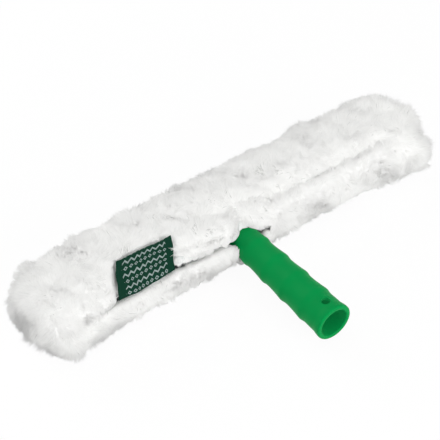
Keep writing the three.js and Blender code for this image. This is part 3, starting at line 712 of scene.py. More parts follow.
def cloth_points():
    """The sleeve's cloth with the bed of its pile as rings of points, and how much pile each point bears."""
    rings, piles = [], []
    for x in cloth_stations():
        lower, upper, low, high = lips(x)
        ring = np.vstack([lower, hull_at(steady_angles(low, high), x), upper[::-1]])
        pile = np.ones(len(ring))
        if SLIT_LEFT < x < SLIT_RIGHT:
            opened, near = ease((x - SLIT_LEFT) / SLIT_RUN), mound(x, *NECK_PILE)
            lower_bare = LOWER_BARE + near * (LOWER_BARE_AT_NECK - LOWER_BARE)
            upper_bare = UPPER_BARE + near * (UPPER_BARE_AT_NECK - UPPER_BARE)
            if x > RECESS_START:
                lower_bare = upper_bare = RECESS_BARE
            pile[:LIP_POINTS] += opened * (lower_bare - 1)
            pile[-LIP_POINTS:] += opened * (upper_bare[::-1] - 1)
        rings.append(np.column_stack([np.full(len(ring), x), ring]))
        piles.append(pile)
    points = np.array(rings)
    points = leaned(slack(round_neck(points.reshape(-1, 3))).reshape(points.shape))
    pile = np.array(piles) * pile_share(points)
    pile *= 1 - UNDER_THIN_SHARE * under_label(points.reshape(-1, 3)).reshape(pile.shape)
    return bedded(points, pile), pile


def end_points(side):
    """An end panel as rings of points from the seam to its middle, and how much pile each point bears."""
    theta = np.linspace(0, math.tau, END_POINTS)
    radius = corner_radius(theta, side)
    rings = [np.column_stack([np.full(END_POINTS, side * x), hull_at(theta, side * x)])
             for x in (END_SEAM - overlap for overlap in END_OVERLAPS)]
    start = corner_turn(theta, side * END_SEAM)
    for share in np.linspace(0, 1, CORNER_STEPS):
        turn = start + (math.pi / 2 - start) * share
        x = side * np.maximum(BASE_HALF_LENGTH - radius * (1 - np.sin(turn)), END_SEAM)
        rings.append(np.column_stack([x, hull(theta, turn, side)]))
    flat = rings[-1]
    middle = np.array([side * (BASE_HALF_LENGTH + CROWN), BASE_MIDDLE[0] - CROWN_FORWARD, BASE_MIDDLE[1]])
    for share in np.linspace(1, 0, CROWN_STEPS)[1:]:
        ring = middle + (flat - middle) * share
        ring[:, 0] = side * (BASE_HALF_LENGTH + CROWN * (1 - share ** 2))
        rings.append(ring)
    points = leaned(slack(np.array(rings)))
    pile = pile_share(points)
    pile[0] = 0
    return bedded(points, pile, side), pile


def sheet_from(points, pile=None, weld=True):
    """Wraps a grid onto rings of points. Its map runs along and across in metres, and it bears a pile."""
    along, around = points.shape[:2]
    bm = bmesh.new()
    bmesh.ops.create_grid(bm, x_segments=along - 1, y_segments=around - 1, size=0.5)
    bearing = bm.verts.layers.float.new("pile")
    mapped = bm.loops.layers.uv.new("cloth")
    across = np.cumsum(np.r_[0, np.linalg.norm(np.diff(points[along // 2], axis=0), axis=1)])
    lengths = np.cumsum(np.r_[0, np.linalg.norm(np.diff(points[:, around // 2], axis=0), axis=1)])
    for face in bm.faces:
        for loop in face.loops:
            i = round((loop.vert.co.x + 0.5) * (along - 1))
            j = round((loop.vert.co.y + 0.5) * (around - 1))
            loop[mapped].uv = (lengths[i] * MM, across[j] * MM)
    for vert in bm.verts:
        i, j = round((vert.co.x + 0.5) * (along - 1)), round((vert.co.y + 0.5) * (around - 1))
        vert.co = points[i, j]
        vert[bearing] = 1 if pile is None else pile[i, j]
    if weld:
        bmesh.ops.remove_doubles(bm, verts=bm.verts, dist=WELD)
    bm.normal_update()
    if sum(face.normal.dot(face.calc_center_median() - INSIDE) for face in bm.faces) < 0:
        bmesh.ops.reverse_faces(bm, faces=bm.faces)
    return bm


# Pile

# A yarn's own shape: where it is fullest, and by how much
YARN_MIDDLE, YARN_FULLNESS = 0.5, 1.55
# Cloth that bears less pile than this stays bare, and roots sit this deep in the sleeve's and the flap's bed
BARE_BELOW, SLEEVE_ROOTS, FLAP_ROOTS = 0.04, 0.4, 0.3
# How the pile is brushed: share of the lean, size of its swirls and seed
SWIRLS = ((1.0, 30, 71), (0.5, 11, 91))
# It lies calmer at the sleeve's ends and low down, by these shares
CALM_ENDS, CALM_END_ZONE, CALM_LOW, CALM_LOW_ZONE = 0.55, (X, 145, 20), 0.4, (Z, 26, -10)
# The yarns turn aside within this width of the flap's ends, in front of the first place, and of its fold
PARTING_WIDTH, PARTING_FRONT, FOLD_PLACE, FOLD_ABOVE = 5, -15, -22, 38
# There the sleeve's yarns lean towards the flap, by a minus, and the flap's own lean outwards over its edges
LEAN_TO_FLAP, LEAN_OVER_FLAP = -0.9, 1.2
LEAN_SCATTER = 0.16
# Near the sleeve's ends they point outwards and grow longer, from these distances before the ends
OUTWARD_LEAN, OUTWARD_RUN, END_GROWTH, END_GROWTH_RUN = 0.5, 26, 0.35, 12
# Spread of the yarns' lengths as least, usual and greatest share, and their swells as share, size and seed
LENGTH_SPREAD, LENGTH_SWELLS = (0.75, 1.0, 1.45), (0.12, 19, 131)
# They are shorter round the neck, by a share that fades over a width from it
NECK_CUT, NECK_CUT_WIDTH = 0.45, 7
# From tuft to tuft: spread and range of length, range of gathering, scatter of the tips
TUFT_LENGTHS, TUFT_LENGTH_RANGE, TUFT_GATHER, TUFT_SCATTER = 0.14, (0.7, 1.4), (0.7, 1.15), 0.5
# A tuft's tips gather at this share of its length, and a yarn's knee lies halfway, drawn to the tip by this
GATHER_HEIGHT, KNEE_PULL = 0.92, 0.12
# The yarns' tone from 0, painted shade, to 1, white: usual tone, spread from tuft to tuft and from yarn to
# yarn, range
TONE, TUFT_TONES, YARN_TONES, TONE_RANGE = 0.925, 0.065, 0.095, (0.03, 0.97)
# Dark flecks of painted shade between the tufts, on some yarns, mostly in some tufts on the middle of the top:
# share of tufts, of yarns there and of yarns elsewhere, their tone, and the size, seed and zones of the
# stretches that have them
SHADE_FLECK_TUFTS, SHADE_FLECK_YARNS, STRAY_SHADE_FLECKS, SHADE_FLECK_TONE = 0.14, 0.36, 0.003, 0.1
SHADE_FLECK_SIZE, SHADE_FLECK_SEED, SHADE_FLECK_ZONES = 36, 151, ((Z, 34, 8), (Y, 8, -12), (X, 120, -20), (X, -120, 20))
# Shares of the cloth's normal, the yarn's roundness and its way in the normals that the light sees
FACING_CLOTH, FACING_ROUND, FACING_WAY = 0.8, 0.42, 0.14
# How high above the floor knees and tips, and then all points, stay, and where the neck's room begins
TIP_CLEARANCE, YARN_CLEARANCE, NECK_FRONT = 0.3, 0.1, -14
# Half a yarn's width on its map, and what it leaves free at the map's two ends
MAP_WIDTH, MAP_EDGE = 0.025, 0.02
# The direction across a yarn rises by this, so that it never lies along it
ACROSS_RISE = 0.3
YARNS_PER_PIECE = 19000
SLEEVE_SEED, FLAP_SEED = 5, 9


def strand():
    """One pile yarn as a unit spike of ten faces, its root at 0 and its tip at 1."""
    bm = bmesh.new()
    bmesh.ops.create_cone(bm, cap_ends=True, segments=3, radius1=1, radius2=0, depth=1)
    bmesh.ops.translate(bm, vec=(0, 0, 0.5), verts=bm.verts)
    bmesh.ops.bisect_plane(bm, geom=bm.verts[:] + bm.edges[:] + bm.faces[:], plane_co=(0, 0, YARN_MIDDLE),
                           plane_no=(0, 0, 1))
    bmesh.ops.remove_doubles(bm, verts=bm.verts, dist=FINE_WELD)
    middle = [v for v in bm.verts if abs(v.co.z - YARN_MIDDLE) < WELD]
    bmesh.ops.scale(bm, vec=(YARN_FULLNESS, YARN_FULLNESS, 1), verts=middle)
    bmesh.ops.triangulate(bm, faces=bm.faces)
    bmesh.ops.recalc_face_normals(bm, faces=bm.faces)
    bm.verts.index_update()
    points = np.array([v.co[:] for v in bm.verts])
    faces = np.array([[v.index for v in face.verts] for face in bm.faces])
    bm.free()
    return points, faces


def pile_roots(objects, per_area, rng):
    """Random places on cloths, with their normals and how much pile they bear. Bare cloth gets none."""
    found = []
    for obj in objects:
        mesh = obj.data
        mesh.calc_loop_triangles()
        corners = np.empty(len(mesh.loop_triangles) * 3, int)
        mesh.loop_triangles.foreach_get("vertices", corners)
        corners = corners.reshape(-1, 3)
        places, normals = np.empty(len(mesh.vertices) * 3), np.empty(len(mesh.vertices) * 3)
        mesh.vertices.foreach_get("co", places)
        mesh.vertices.foreach_get("normal", normals)
        places, normals = places.reshape(-1, 3) / MM, normals.reshape(-1, 3)
        bearing = np.empty(len(mesh.vertices))
        mesh.attributes["pile"].data.foreach_get("value", bearing)
        a, b, c = (places[corners[:, k]] for k in range(3))
        area = np.linalg.norm(np.cross(b - a, c - a), axis=1) / 2
        area = area * (bearing[corners].min(axis=1) > BARE_BELOW)
        count = int(area.sum() * per_area)
        chosen = corners[rng.choice(len(area), count, p=area / area.sum())]
        u, v = rng.random(count), rng.random(count)
        over = u + v > 1
        u[over], v[over] = 1 - u[over], 1 - v[over]
        mix = np.stack([1 - u - v, u, v], axis=1)[..., None]
        found.append(((places[chosen] * mix).sum(axis=1), unit((normals[chosen] * mix).sum(axis=1)),
                      (bearing[chosen] * mix[..., 0]).sum(axis=1)))
    return [np.concatenate(values) for values in zip(*found)]


def nearest(points, seeds):
    """The seed that each point is nearest to."""
    tree = kdtree.KDTree(len(seeds))
    for k, seed in enumerate(seeds):
        tree.insert(seed, k)
    tree.balance()
    return np.array([tree.find(point)[1] for point in points])


def yarn_leans(roots, normals, settings, spread, rng):
    """How far each yarn leans along the cloth: with its neighbours, downwards a little, aside at the flap's
    two ends and over its fold, and outwards at the sleeve's ends."""
    lean = sum(share * settings.lean * wave_vectors(roots, size, seed) for share, size, seed in SWIRLS)
    calm = CALM_ENDS * within(np.abs(roots), CALM_END_ZONE) + CALM_LOW * within(roots, CALM_LOW_ZONE)
    lean *= 1 - calm[:, None]
    x, y, z = roots.T
    at_ends = mound(x, FLAP_RIGHT, PARTING_WIDTH) - mound(x, FLAP_LEFT, PARTING_WIDTH)
    lean[:, 0] += spread * at_ends * (y < PARTING_FRONT)
    on_fold = (z > FOLD_ABOVE) & (x > FLAP_LEFT) & (x < FLAP_RIGHT)
    lean[:, 1] += spread * mound(y, FOLD_PLACE, PARTING_WIDTH) * on_fold
    lean += rng.normal(scale=LEAN_SCATTER, size=roots.shape) + (0, 0, -settings.droop)
    to_end = (np.abs(x) - BASE_HALF_LENGTH + OUTWARD_RUN) / OUTWARD_RUN
    lean[:, 0] += OUTWARD_LEAN * np.sign(x) * ease(to_end)
    return lean - (lean * normals).sum(axis=1, keepdims=True) * normals


def yarn_lengths(roots, bearing, settings, rng):
    """Each yarn's length: shorter where the cloth bears less pile and round the neck, longer at the ends."""
    length = settings.pile_length / MM * np.minimum(bearing, 1) * rng.triangular(*LENGTH_SPREAD, len(roots))
    share, size, seed = LENGTH_SWELLS
    length *= 1 + share * waves(roots, size, seed)
    gap = from_neck(roots)[1] - NECK_ROOM
    length *= 1 - mound(gap, 0, NECK_CUT_WIDTH, NECK_CUT) * (roots[:, 1] < PARTING_FRONT)
    to_end = (np.abs(roots[:, 0]) - BASE_HALF_LENGTH + END_GROWTH_RUN) / END_GROWTH_RUN
    return length * (1 + END_GROWTH * ease(to_end))


def comb(cloths, depth, settings, rng, spread):
    """Lays the pile of some cloths: each yarn's root, normal, knee, tip and tone, with the roots a depth
    inside. The yarns draw together into tufts, and spread over the flap's ends, or below 0 towards them."""
    roots, normals, bearing = pile_roots(cloths, settings.strands_per_area, rng)
    roots -= depth * normals
    count = len(roots)
    lean = yarn_leans(roots, normals, settings, spread, rng)
    length = yarn_lengths(roots, bearing, settings, rng)
    pitch = settings.tuft_pitch / MM
    seeds = rng.permutation(count)[:max(1, int(count / (settings.strands_per_area * pitch * pitch)))]
    tuft = nearest(roots, roots[seeds])
    length *= rng.normal(1, TUFT_LENGTHS, len(seeds)).clip(*TUFT_LENGTH_RANGE)[tuft]
    tips = roots + unit(normals + lean) * length[:, None]
    gather = (settings.clump * rng.uniform(*TUFT_GATHER, len(seeds)))[tuft]
    scatter = rng.normal(scale=TUFT_SCATTER, size=(len(seeds), 3))[tuft]
    aside = tips - roots - normals * length[:, None]
    centre = (roots + normals * GATHER_HEIGHT * length[:, None])[seeds][tuft] + aside + scatter
    tips += gather[:, None] * (centre - tips)
    knees = roots + normals * (length / 2)[:, None] + KNEE_PULL * (tips - roots)
    tone = TONE + rng.normal(scale=TUFT_TONES, size=len(seeds))[tuft]
    tone += rng.normal(scale=YARN_TONES, size=count)
    # Painted shade between the tufts: some yarns take a dark tone and show as flecks
    shade_fleck_stretches = ease(2 * waves(roots, SHADE_FLECK_SIZE, SHADE_FLECK_SEED)) * within(roots, *SHADE_FLECK_ZONES)
    shade_fleck_share = shade_fleck_stretches * (rng.random(len(seeds)) < SHADE_FLECK_TUFTS)[tuft]
    shade_flecks = rng.random(count) < STRAY_SHADE_FLECKS + SHADE_FLECK_YARNS * shade_fleck_share
    tone = np.clip(np.where(shade_flecks, SHADE_FLECK_TONE, tone), *TONE_RANGE)
    return roots, normals, keep_clear(knees), keep_clear(tips), tone


def keep_clear(points):
    """Keeps the pile off the surface it lies on and out of the handle's neck."""
    points[:, 2] = np.maximum(points[:, 2], TIP_CLEARANCE)
    away, radius = from_neck(points)
    inside = (points[:, 1] < NECK_FRONT) & (radius < NECK_ROOM)
    scale = np.where(inside, NECK_ROOM / radius, 1)
    points[:, [X, Z]] = (0, AXIS_HEIGHT) + away * scale[:, None]
    return points


def add_pile(name, pile, width, body, material, rng):
    """Sets a copy of the yarn on each root. Its map holds its tone and the way from root to tip, and its
    normals lean to the cloth's, which gives the soft shade of deep pile."""
    roots, normals, knees, tips, tone = pile
    shape, faces = strand()
    count, corners = len(roots), len(shape)
    spin = rng.uniform(0, math.tau, count)
    across = np.stack([np.cos(spin), np.sin(spin), np.full(count, ACROSS_RISE)], axis=1)
    root_way, tip_way = unit(knees - roots), unit(tips - roots)
    vertices, facing = np.empty((count, corners, 3)), np.empty((count, corners, 3))
    for k, (sx, sy, t) in enumerate(shape):
        centre = (1 - t) ** 2 * roots + 2 * t * (1 - t) * knees + t * t * tips
        way = unit(root_way * (1 - t) + tip_way * t)
        side = unit(np.cross(way, across))
        round_yarn = sx * side + sy * np.cross(way, side)
        vertices[:, k] = centre + width / 2 * round_yarn
        facing[:, k] = unit(FACING_CLOTH * normals + FACING_ROUND * round_yarn + FACING_WAY * way)
    vertices[..., 2] = np.maximum(vertices[..., 2], YARN_CLEARANCE)
    mesh = bpy.data.meshes.new(name)
    mesh.vertices.add(count * corners)
    mesh.vertices.foreach_set("co", (vertices * MM).ravel())
    order = (faces[None] + corners * np.arange(count)[:, None, None]).reshape(-1)
    mesh.loops.add(len(order))
    mesh.loops.foreach_set("vertex_index", order)
    mesh.polygons.add(len(order) // 3)
    mesh.polygons.foreach_set("loop_start", np.arange(0, len(order), 3))
    mesh.update(calc_edges=True)
    along = shape[:, 2]
    sides = np.cos(np.arctan2(shape[:, 1], shape[:, 0])) * (along < 1 - WELD)
    u = tone[:, None] + MAP_WIDTH * sides[None]
    v = np.broadcast_to(MAP_EDGE + (1 - 2 * MAP_EDGE) * along[None], u.shape)
    layer = mesh.uv_layers.new(name="OFBake")
    layer.data.foreach_set("uv", np.stack([u, v], axis=-1).reshape(-1, 2)[order].ravel())
    obj = add_object(mesh, name, body, material)
    mesh.normals_split_custom_set_from_vertices(facing.reshape(-1, 3))
    # Light that the yarns send to each other, and their shadows, would only blotch the white pile
    obj.visible_diffuse = obj.visible_shadow = False
    return obj


# Settings

class SleeveSettings(bpy.types.PropertyGroup):
    """Sizes and colours of the pile sleeve."""
    pile_length: FloatProperty(name="Pile length", description="From the knit to the tips",
                               default=0.006, min=0.002, max=0.02, unit="LENGTH")
    yarn_width: FloatProperty(name="Yarn width", description="Thickness of a pile yarn at its root",
                              default=0.00055, min=0.0001, max=0.002, unit="LENGTH")
    strands_per_area: FloatProperty(name="Yarns per square millimetre", description="How dense the pile is",
                                    default=1.6, min=0.1, max=3)
    tuft_pitch: FloatProperty(name="Tuft pitch", description="How far apart the pile's tufts are",
                              default=0.0058, min=0.002, max=0.02, unit="LENGTH")
    lean: FloatProperty(name="Lean", description="How far the pile is brushed aside",
                        default=0.68, min=0, max=2)
    droop: FloatProperty(name="Droop", description="How far the pile hangs", default=0.22, min=0, max=1)
    clump: FloatProperty(name="Clump", description="How far a tuft's tips draw together",
                         default=0.3, min=0, max=1)
    pile_colour: FloatVectorProperty(name="Pile colour", description="Colour of the pile's tips",
                                     default=linear("#fbfbf9"), min=0, max=1, subtype="COLOR")
    hem_colour: FloatVectorProperty(name="Hem colour", description="Colour of the tape on the lips",
                                    default=linear("#eef1ef"), min=0, max=1, subtype="COLOR")


class HandleSettings(bpy.types.PropertyGroup):
    """Sizes and colour of the handle."""
    ridge_height: FloatProperty(name="Ridge height", description="Height of the finger ridges",
                                default=0.001, min=0, max=0.002, unit="LENGTH")
    ridge_pitch: FloatProperty(name="Ridge pitch", description="From one finger ridge to the next",
                               default=0.0225, min=0.015, max=0.03, unit="LENGTH")
    bore_radius: FloatProperty(name="Bore radius", description="Radius of the pole socket at its mouth",
                               default=0.0114, min=0.008, max=0.012, unit="LENGTH")
    colour: FloatVectorProperty(name="Colour", description="Colour of the moulded handle",
                                default=linear("#009047"), min=0, max=1, subtype="COLOR")


class LabelSettings(bpy.types.PropertyGroup):
    """Colours and rows of the woven label."""
    row_pitch: FloatProperty(name="Row pitch", description="From one row of the pattern to the next",
                             default=0.0046, min=0.002, max=0.01, unit="LENGTH")
    ground: FloatVectorProperty(name="Ground", description="Colour of the label's ground",
                                default=linear("#003222"), min=0, max=1, subtype="COLOR")
    thread: FloatVectorProperty(name="Thread", description="Colour of the pattern's thread",
                                default=linear("#aab8b6"), min=0, max=1, subtype="COLOR")


class StageSettings(bpy.types.PropertyGroup):
    """Lights of the stage."""
    key_power: FloatProperty(name="Key power", description="Power of the main light, in watts",
                             default=14.5, min=0, max=200)
    fill_level: FloatProperty(name="Fill level", description="Strength of the light from all round",
                              default=0.3, min=0, max=2)


# The handle, as radii and as distances from the bar's axis in front of it. The bore's floor is drawn by radii
# and places from it, and its soft edge by steps past the bore's radius and the rim
BORE_DEPTH, BORE_STEPS, BORE_FLOOR = 85, 8, ((0, 0), (9.6, 0), (10.3, 0.3), (10.5, 1))
BORE_EDGE_RUN, BORE_EDGE = 0.9, ((0.15, -0.45), (0.55, -0.1), (1.1, 0))
RIM_RADIUS, RIM_ROUND, RIM_ROUND_STEPS, TURN_STEPS = 13.6, 1.4, 5, 96
# The flare's radii on the way back to the grip, and their distances from the rim
FLARE = ((15, -2.4), (14.85, -4), (14.6, -5.6))
ROOT_RADIUS, ROOT_START, ROOT_END = 12.3, 17.5, 32
# The grip's taper begins here, with its radius there and how much it gains up to the mouth
GRIP_START, GRIP_RADIUS, GRIP_GAIN, FINGER_RIDGES = 42, 12.15, 2.25, 3.5
# Its rings run from behind the rim to before the root, and each is the mean of three places, which softens
# the ridges
GRIP_FROM_RIM, GRIP_TO_ROOT, GRIP_STEP, GRIP_SOFTENING = 7.5, 2, 1.0, (-0.8, 0, 0.8)
# After a ridge the grip drops over this share of the pitch, and it rises to the next from the second share on
DROP_SHARE, RISE_SHARE, DROP_POWER, RISE_POWER = 0.25, 0.35, 2, 1.6
# The fork as half its width, its front and half its height, the slot for the bar, and the rounding of both
FORK, FORK_ROUND, SLOT, SLOT_BACK, SLOT_ROUND = (16, 20, 9.9), 1.2, (18, 17.3, 7.3), 4, 0.3
LOCK_HOLE_RADIUS, LOCK_HOLE_FROM_MOUTH, LOCK_HOLE_REACH, LOCK_HOLE_SIDES = 3.5, 10.9, 20, 32
SCREW_HOLE_RADIUS, SCREW_HOLE_REACH, SCREW_HOLE_SIDES = 2.2, 12, 24
SCREW_PLACES = ((-10, -6.3), (10, -6.3))
# Edges that turn more than this many degrees stay crisp, on the handle and on strips
HANDLE_CRISP, STRIP_CRISP = 32, 40

# Thickness of the cloths, the hems and the label, and how far the hems stand off the lips' cloth
SLEEVE_WALL, FLAP_WALL, HEM_WALL, HEM_STANDOFF, LABEL_WALL = 1.5, 1.4, 0.8, 0.7, 0.5
# Where the hems start and end along the sleeve, and how many of a lip's points, from its edge, they cover
HEM_START, UPPER_HEM_END, LOWER_HEM_END = SLIT_LEFT + 4, FLAP_LEFT - 0.8, SLIT_RIGHT - 1
UPPER_HEM_POINTS, LOWER_HEM_POINTS = 7, 5
# The label: points across and up, depth in the pile, how far it is pulled flat, and its ripples as above
LABEL_POINTS, LABEL_DEPTH, LABEL_TAUTNESS = (50, 30), 1.1, 0.5
LABEL_RIPPLES = ((0.45, 22, 7), (0.2, 8, 17))
# The flap's section in front of the bar's axis, from the fold at its top to the hem
FLAP_OUTLINE = np.array([(-24.8, 43.4), (-27.6, 45.2), (-31, 45), (-34, 42.8), (-35.8, 38.5), (-36.4, 32),
                         (-36, 24), (-34, 17.5), (-31, 14), (-27, 12.8)])
# Its points round the section, the two rings at each end, where the even ones start and stop, and their step
FLAP_POINTS, FLAP_EDGES, FLAP_INNER, FLAP_STEP = 26, np.array([0.3, 1]), (3, 2), 2.8
# Its ends are turned back by a depth over a run, and it bears less pile at the fold and at the hem: place,
# width and share of each
FLAP_TURN, FLAP_TURN_RUN = 0.8, 4
FLAP_PILE, FLAP_FOLD_PILE, FLAP_HEM_PILE = 0.95, (-25, 3, 0.35), (12, 6, 0.3)
# A slow wave of its front as depth, size and seed, and the zone that has it
FLAP_WAVE, FLAP_WAVE_ZONE = (0.6, 38, 201), (Z, 43, -8)
FLAP_HEM_HEIGHT, FLAP_HEM_MIDDLE, FLAP_HEM_ROUND = 1.4, 11.8, 0.6
# The fastening tapes: depth and rounding of their strip, steps from prong to prong along and up, margins at
# the two ends of each, and the prongs' radii, their length and how far they stand in front
STRIP_DEPTH, STRIP_ROUND, STRIP_SEGMENTS = 0.7, 0.25, 2
PRONG_STEPS, PRONG_MARGINS = (2.3, 2.1), ((1.6, 1), (1.2, 0.6))
PRONG_FOOT, PRONG_TIP, PRONG_LENGTH, PRONG_STANDOFF = 0.24, 0.16, 0.5, 0.2

# The stage, in metres: lamps as place, size and share of the key's power
LAMPS = {
    "key": ((0.25, -1.35, 0.4), 1.0, 1.0),
    "left": ((-1.4, 0.1, 0.6), 1.4, 0.4),
    "right": ((1.4, 0.1, 0.6), 1.4, 0.1),
    "back": ((-0.3, 1.4, 0.75), 1.4, 0.9),
    "top": ((0, 0, 1.5), 1.4, 0.43),
}
LAMP_AIM = Vector((0, 0, 0.03))
FLOOR_SIZE, FLOOR_DROP, FLOOR_WHITE_SHARE = 6, 0.0006, 0.93
# The camera: where it looks from and at, and the photograph's focal length, middle and width in pixels
CAMERA_AZIMUTH, CAMERA_ELEVATION = math.radians(-36.89), math.radians(43.30)
CAMERA_DISTANCE, CAMERA_AIM, SENSOR = 1.151, Vector((0, 0, 0.027)), 36
PHOTO_FOCAL, PHOTO_WIDTH, PHOTO_SHIFT = 1509.1, 440, (-2.92, -6.04)


# Operators

class WASHER_OT_metal(bpy.types.Operator):
    """Finishes the crossbar, its caps and the clamp's screws and nuts"""
    bl_idname = "washer.metal"
    bl_label = "Crossbar and fasteners"

    def execute(self, context):
        bar, steel = anodised_aluminium(), stainless_steel()
        cap = moulded_polypropylene("moulded_polypropylene_cap", context.scene.washer_handle.colour)
        finishes = {"crossbar": bar, "end_cap_left": cap, "end_cap_right": cap, "clamp_screw_left": steel,
                    "clamp_screw_right": steel, "clamp_nut_left": steel, "clamp_nut_right": steel}
        for node, material in finishes.items():
            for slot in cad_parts[node].material_slots:
                slot.material = material
        return {"FINISHED"}


class WASHER_OT_handle(bpy.types.Operator):
    """Adds the handle: a spun grip with finger scallops and a tapered bore, on a fork that clasps the bar"""
    bl_idname = "washer.handle"
    bl_label = "Handle"

    def execute(self, context):
        settings = context.scene.washer_handle
        bm = bmesh.new()
        profile = [bm.verts.new((radius, -distance, 0)) for radius, distance in self.profile(settings)]
        edges = [bm.edges.new(pair) for pair in zip(profile, profile[1:])]
        bmesh.ops.spin(bm, geom=profile + edges, cent=(0, 0, 0), axis=(0, 1, 0), dvec=(0, 0, 0),
                       angle=math.tau, steps=TURN_STEPS, use_merge=True, use_duplicate=False)
        bmesh.ops.remove_doubles(bm, verts=bm.verts, dist=FINE_WELD)
        bmesh.ops.recalc_face_normals(bm, faces=bm.faces)
        bmesh.ops.translate(bm, vec=(0, 0, AXIS_HEIGHT), verts=bm.verts)
        material = moulded_polypropylene("moulded_polypropylene_handle", settings.colour)
        handle = piece_from(bm, "moulded_handle", "washer", material)
        self.cut(handle, "UNION", self.across_bar(FORK, 0, FORK_ROUND))
        self.cut(handle, "DIFFERENCE", self.across_bar(SLOT, SLOT_BACK, SLOT_ROUND))
        self.cut(handle, "DIFFERENCE", self.pin(LOCK_HOLE_RADIUS, (0, LOCK_HOLE_FROM_MOUTH - MOUTH_DISTANCE),
                                                0, LOCK_HOLE_REACH, LOCK_HOLE_SIDES))
        for place in SCREW_PLACES:
            self.cut(handle, "DIFFERENCE", self.pin(SCREW_HOLE_RADIUS, place, -SCREW_HOLE_REACH,
                                                    SCREW_HOLE_REACH, SCREW_HOLE_SIDES))
        sharpen(handle, HANDLE_CRISP)
        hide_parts("handle")
        # Its green light would tint the pile beside it, which stays clean white
        handle.visible_diffuse = False
        return {"FINISHED"}

    def profile(self, settings):
        """Radii and distances from the bar's axis, from the bore's floor to the rim and back to the root."""
        bore, pitch, height = settings.bore_radius / MM, settings.ridge_pitch / MM, settings.ridge_height / MM
        rim, floor = MOUTH_DISTANCE, MOUTH_DISTANCE - BORE_DEPTH
        points = [(radius, floor + place) for radius, place in BORE_FLOOR]
        radii = np.linspace(points[-1][0], bore, BORE_STEPS + 1)
        distances = np.linspace(points[-1][1], rim - BORE_EDGE_RUN, BORE_STEPS + 1)
        points += list(zip(radii, distances))[1:]
        points += [(bore + past, rim + place) for past, place in BORE_EDGE]
        points += [(RIM_RADIUS + RIM_ROUND * math.sin(turn), rim - RIM_ROUND * (1 - math.cos(turn)))
                   for turn in np.linspace(0, math.pi / 2, RIM_ROUND_STEPS)]
        points += [(radius, rim + place) for radius, place in FLARE]
        distances = np.arange(rim - GRIP_FROM_RIM, ROOT_END + GRIP_TO_ROOT, -GRIP_STEP)
        radii = [np.mean([self.grip(d + aside, pitch, height) for aside in GRIP_SOFTENING])
                 for d in distances]
        points += list(zip(radii, distances))
        return points + [(ROOT_RADIUS, ROOT_END), (ROOT_RADIUS, ROOT_START), (0, ROOT_START)]

    def grip(self, distance, pitch, height):
        """The grip's radius: a slow taper with scallops, which rise slowly to a ridge and drop quickly."""
        if distance < GRIP_START - pitch / 4:
            return ROOT_RADIUS
        taper = GRIP_RADIUS + GRIP_GAIN * (distance - GRIP_START) / (MOUTH_DISTANCE - GRIP_START)
        phase = ((distance - GRIP_START) / pitch) % 1
        drop = max(0, 1 - phase / DROP_SHARE) ** DROP_POWER
        rise = max(0, (phase - RISE_SHARE) / (1 - RISE_SHARE)) ** RISE_POWER
        past = distance > GRIP_START + FINGER_RIDGES * pitch
        return taper + height * (0 if past else max(drop, rise))

    def across_bar(self, size, back, soft):
        """A block round the bar, from its half width, front and half height, as a tool for a cut."""
        half_width, front, half_height = size
        return block((-half_width, -front, AXIS_HEIGHT - half_height),
                     (half_width, back, AXIS_HEIGHT + half_height), soft)

    def pin(self, radius, place, bottom, top, sides):
        """An upright pin between two heights over the handle's axis, as a tool for a hole."""
        bm = bmesh.new()
        bmesh.ops.create_cone(bm, cap_ends=True, segments=sides, radius1=radius, radius2=radius,
                              depth=top - bottom)
        bmesh.ops.translate(bm, vec=(*place, AXIS_HEIGHT + (bottom + top) / 2), verts=bm.verts)
        return bm

    def cut(self, obj, operation, tool):
        """Joins a tool to a piece or cuts it out, and deletes the tool."""
        bmesh.ops.scale(tool, vec=(MM, MM, MM), verts=tool.verts)
        mesh = bpy.data.meshes.new("tool")
        tool.to_mesh(mesh)
        tool.free()
        other = bpy.data.objects.new("tool", mesh)
        bpy.context.scene.collection.objects.link(other)
        boolean = obj.modifiers.new("cut", "BOOLEAN")
        boolean.operation, boolean.solver, boolean.object = operation, "EXACT", other
        apply_modifiers(obj)
        bpy.data.objects.remove(other)
        obj.data.shade_smooth()


class WASHER_OT_cloth(bpy.types.Operator):
    """Adds the sleeve's cloth with its slit and its two end panels"""
    bl_idname = "washer.cloth"
    bl_label = "Sleeve cloth"

    def execute(self, context):
        knit = packed_pile(context.scene.washer_sleeve.pile_colour)
        pieces = (("sleeve_cloth", "sleeve_wrap", cloth_points()),
                  ("end_panel_left", "sleeve_end_left", end_points(-1)),
                  ("end_panel_right", "sleeve_end_right", end_points(1)))
        for name, node, (points, pile) in pieces:
            piece = piece_from(sheet_from(points, pile), name, "washer", knit)
            add_wall(piece, SLEEVE_WALL, -1)
            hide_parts(node)
        return {"FINISHED"}


class WASHER_OT_pile(bpy.types.Operator):
    """Covers the sleeve's cloth with pile, in lengths along the sleeve"""
    bl_idname = "washer.pile"
    bl_label = "Sleeve pile"

    def execute(self, context):
        settings = context.scene.washer_sleeve
        rng = np.random.default_rng(SLEEVE_SEED)
        cloths = [bpy.data.objects[name] for name in ("sleeve_cloth", "end_panel_left", "end_panel_right")]
        # The yarns lean towards the flap at its ends and its fold, so that no seam shows
        pile = comb(cloths, SLEEVE_ROOTS, settings, rng, LEAN_TO_FLAP)
        material = acrylic_pile(settings.pile_colour)
        order = np.argsort(pile[0][:, 0])
        parts = max(1, math.ceil(len(order) / YARNS_PER_PIECE))
        for k, part in enumerate(np.array_split(order, parts)):
            add_pile(f"sleeve_pile_{k + 1}", [values[part] for values in pile], settings.yarn_width / MM,
                     "washer", material, rng)
        return {"FINISHED"}


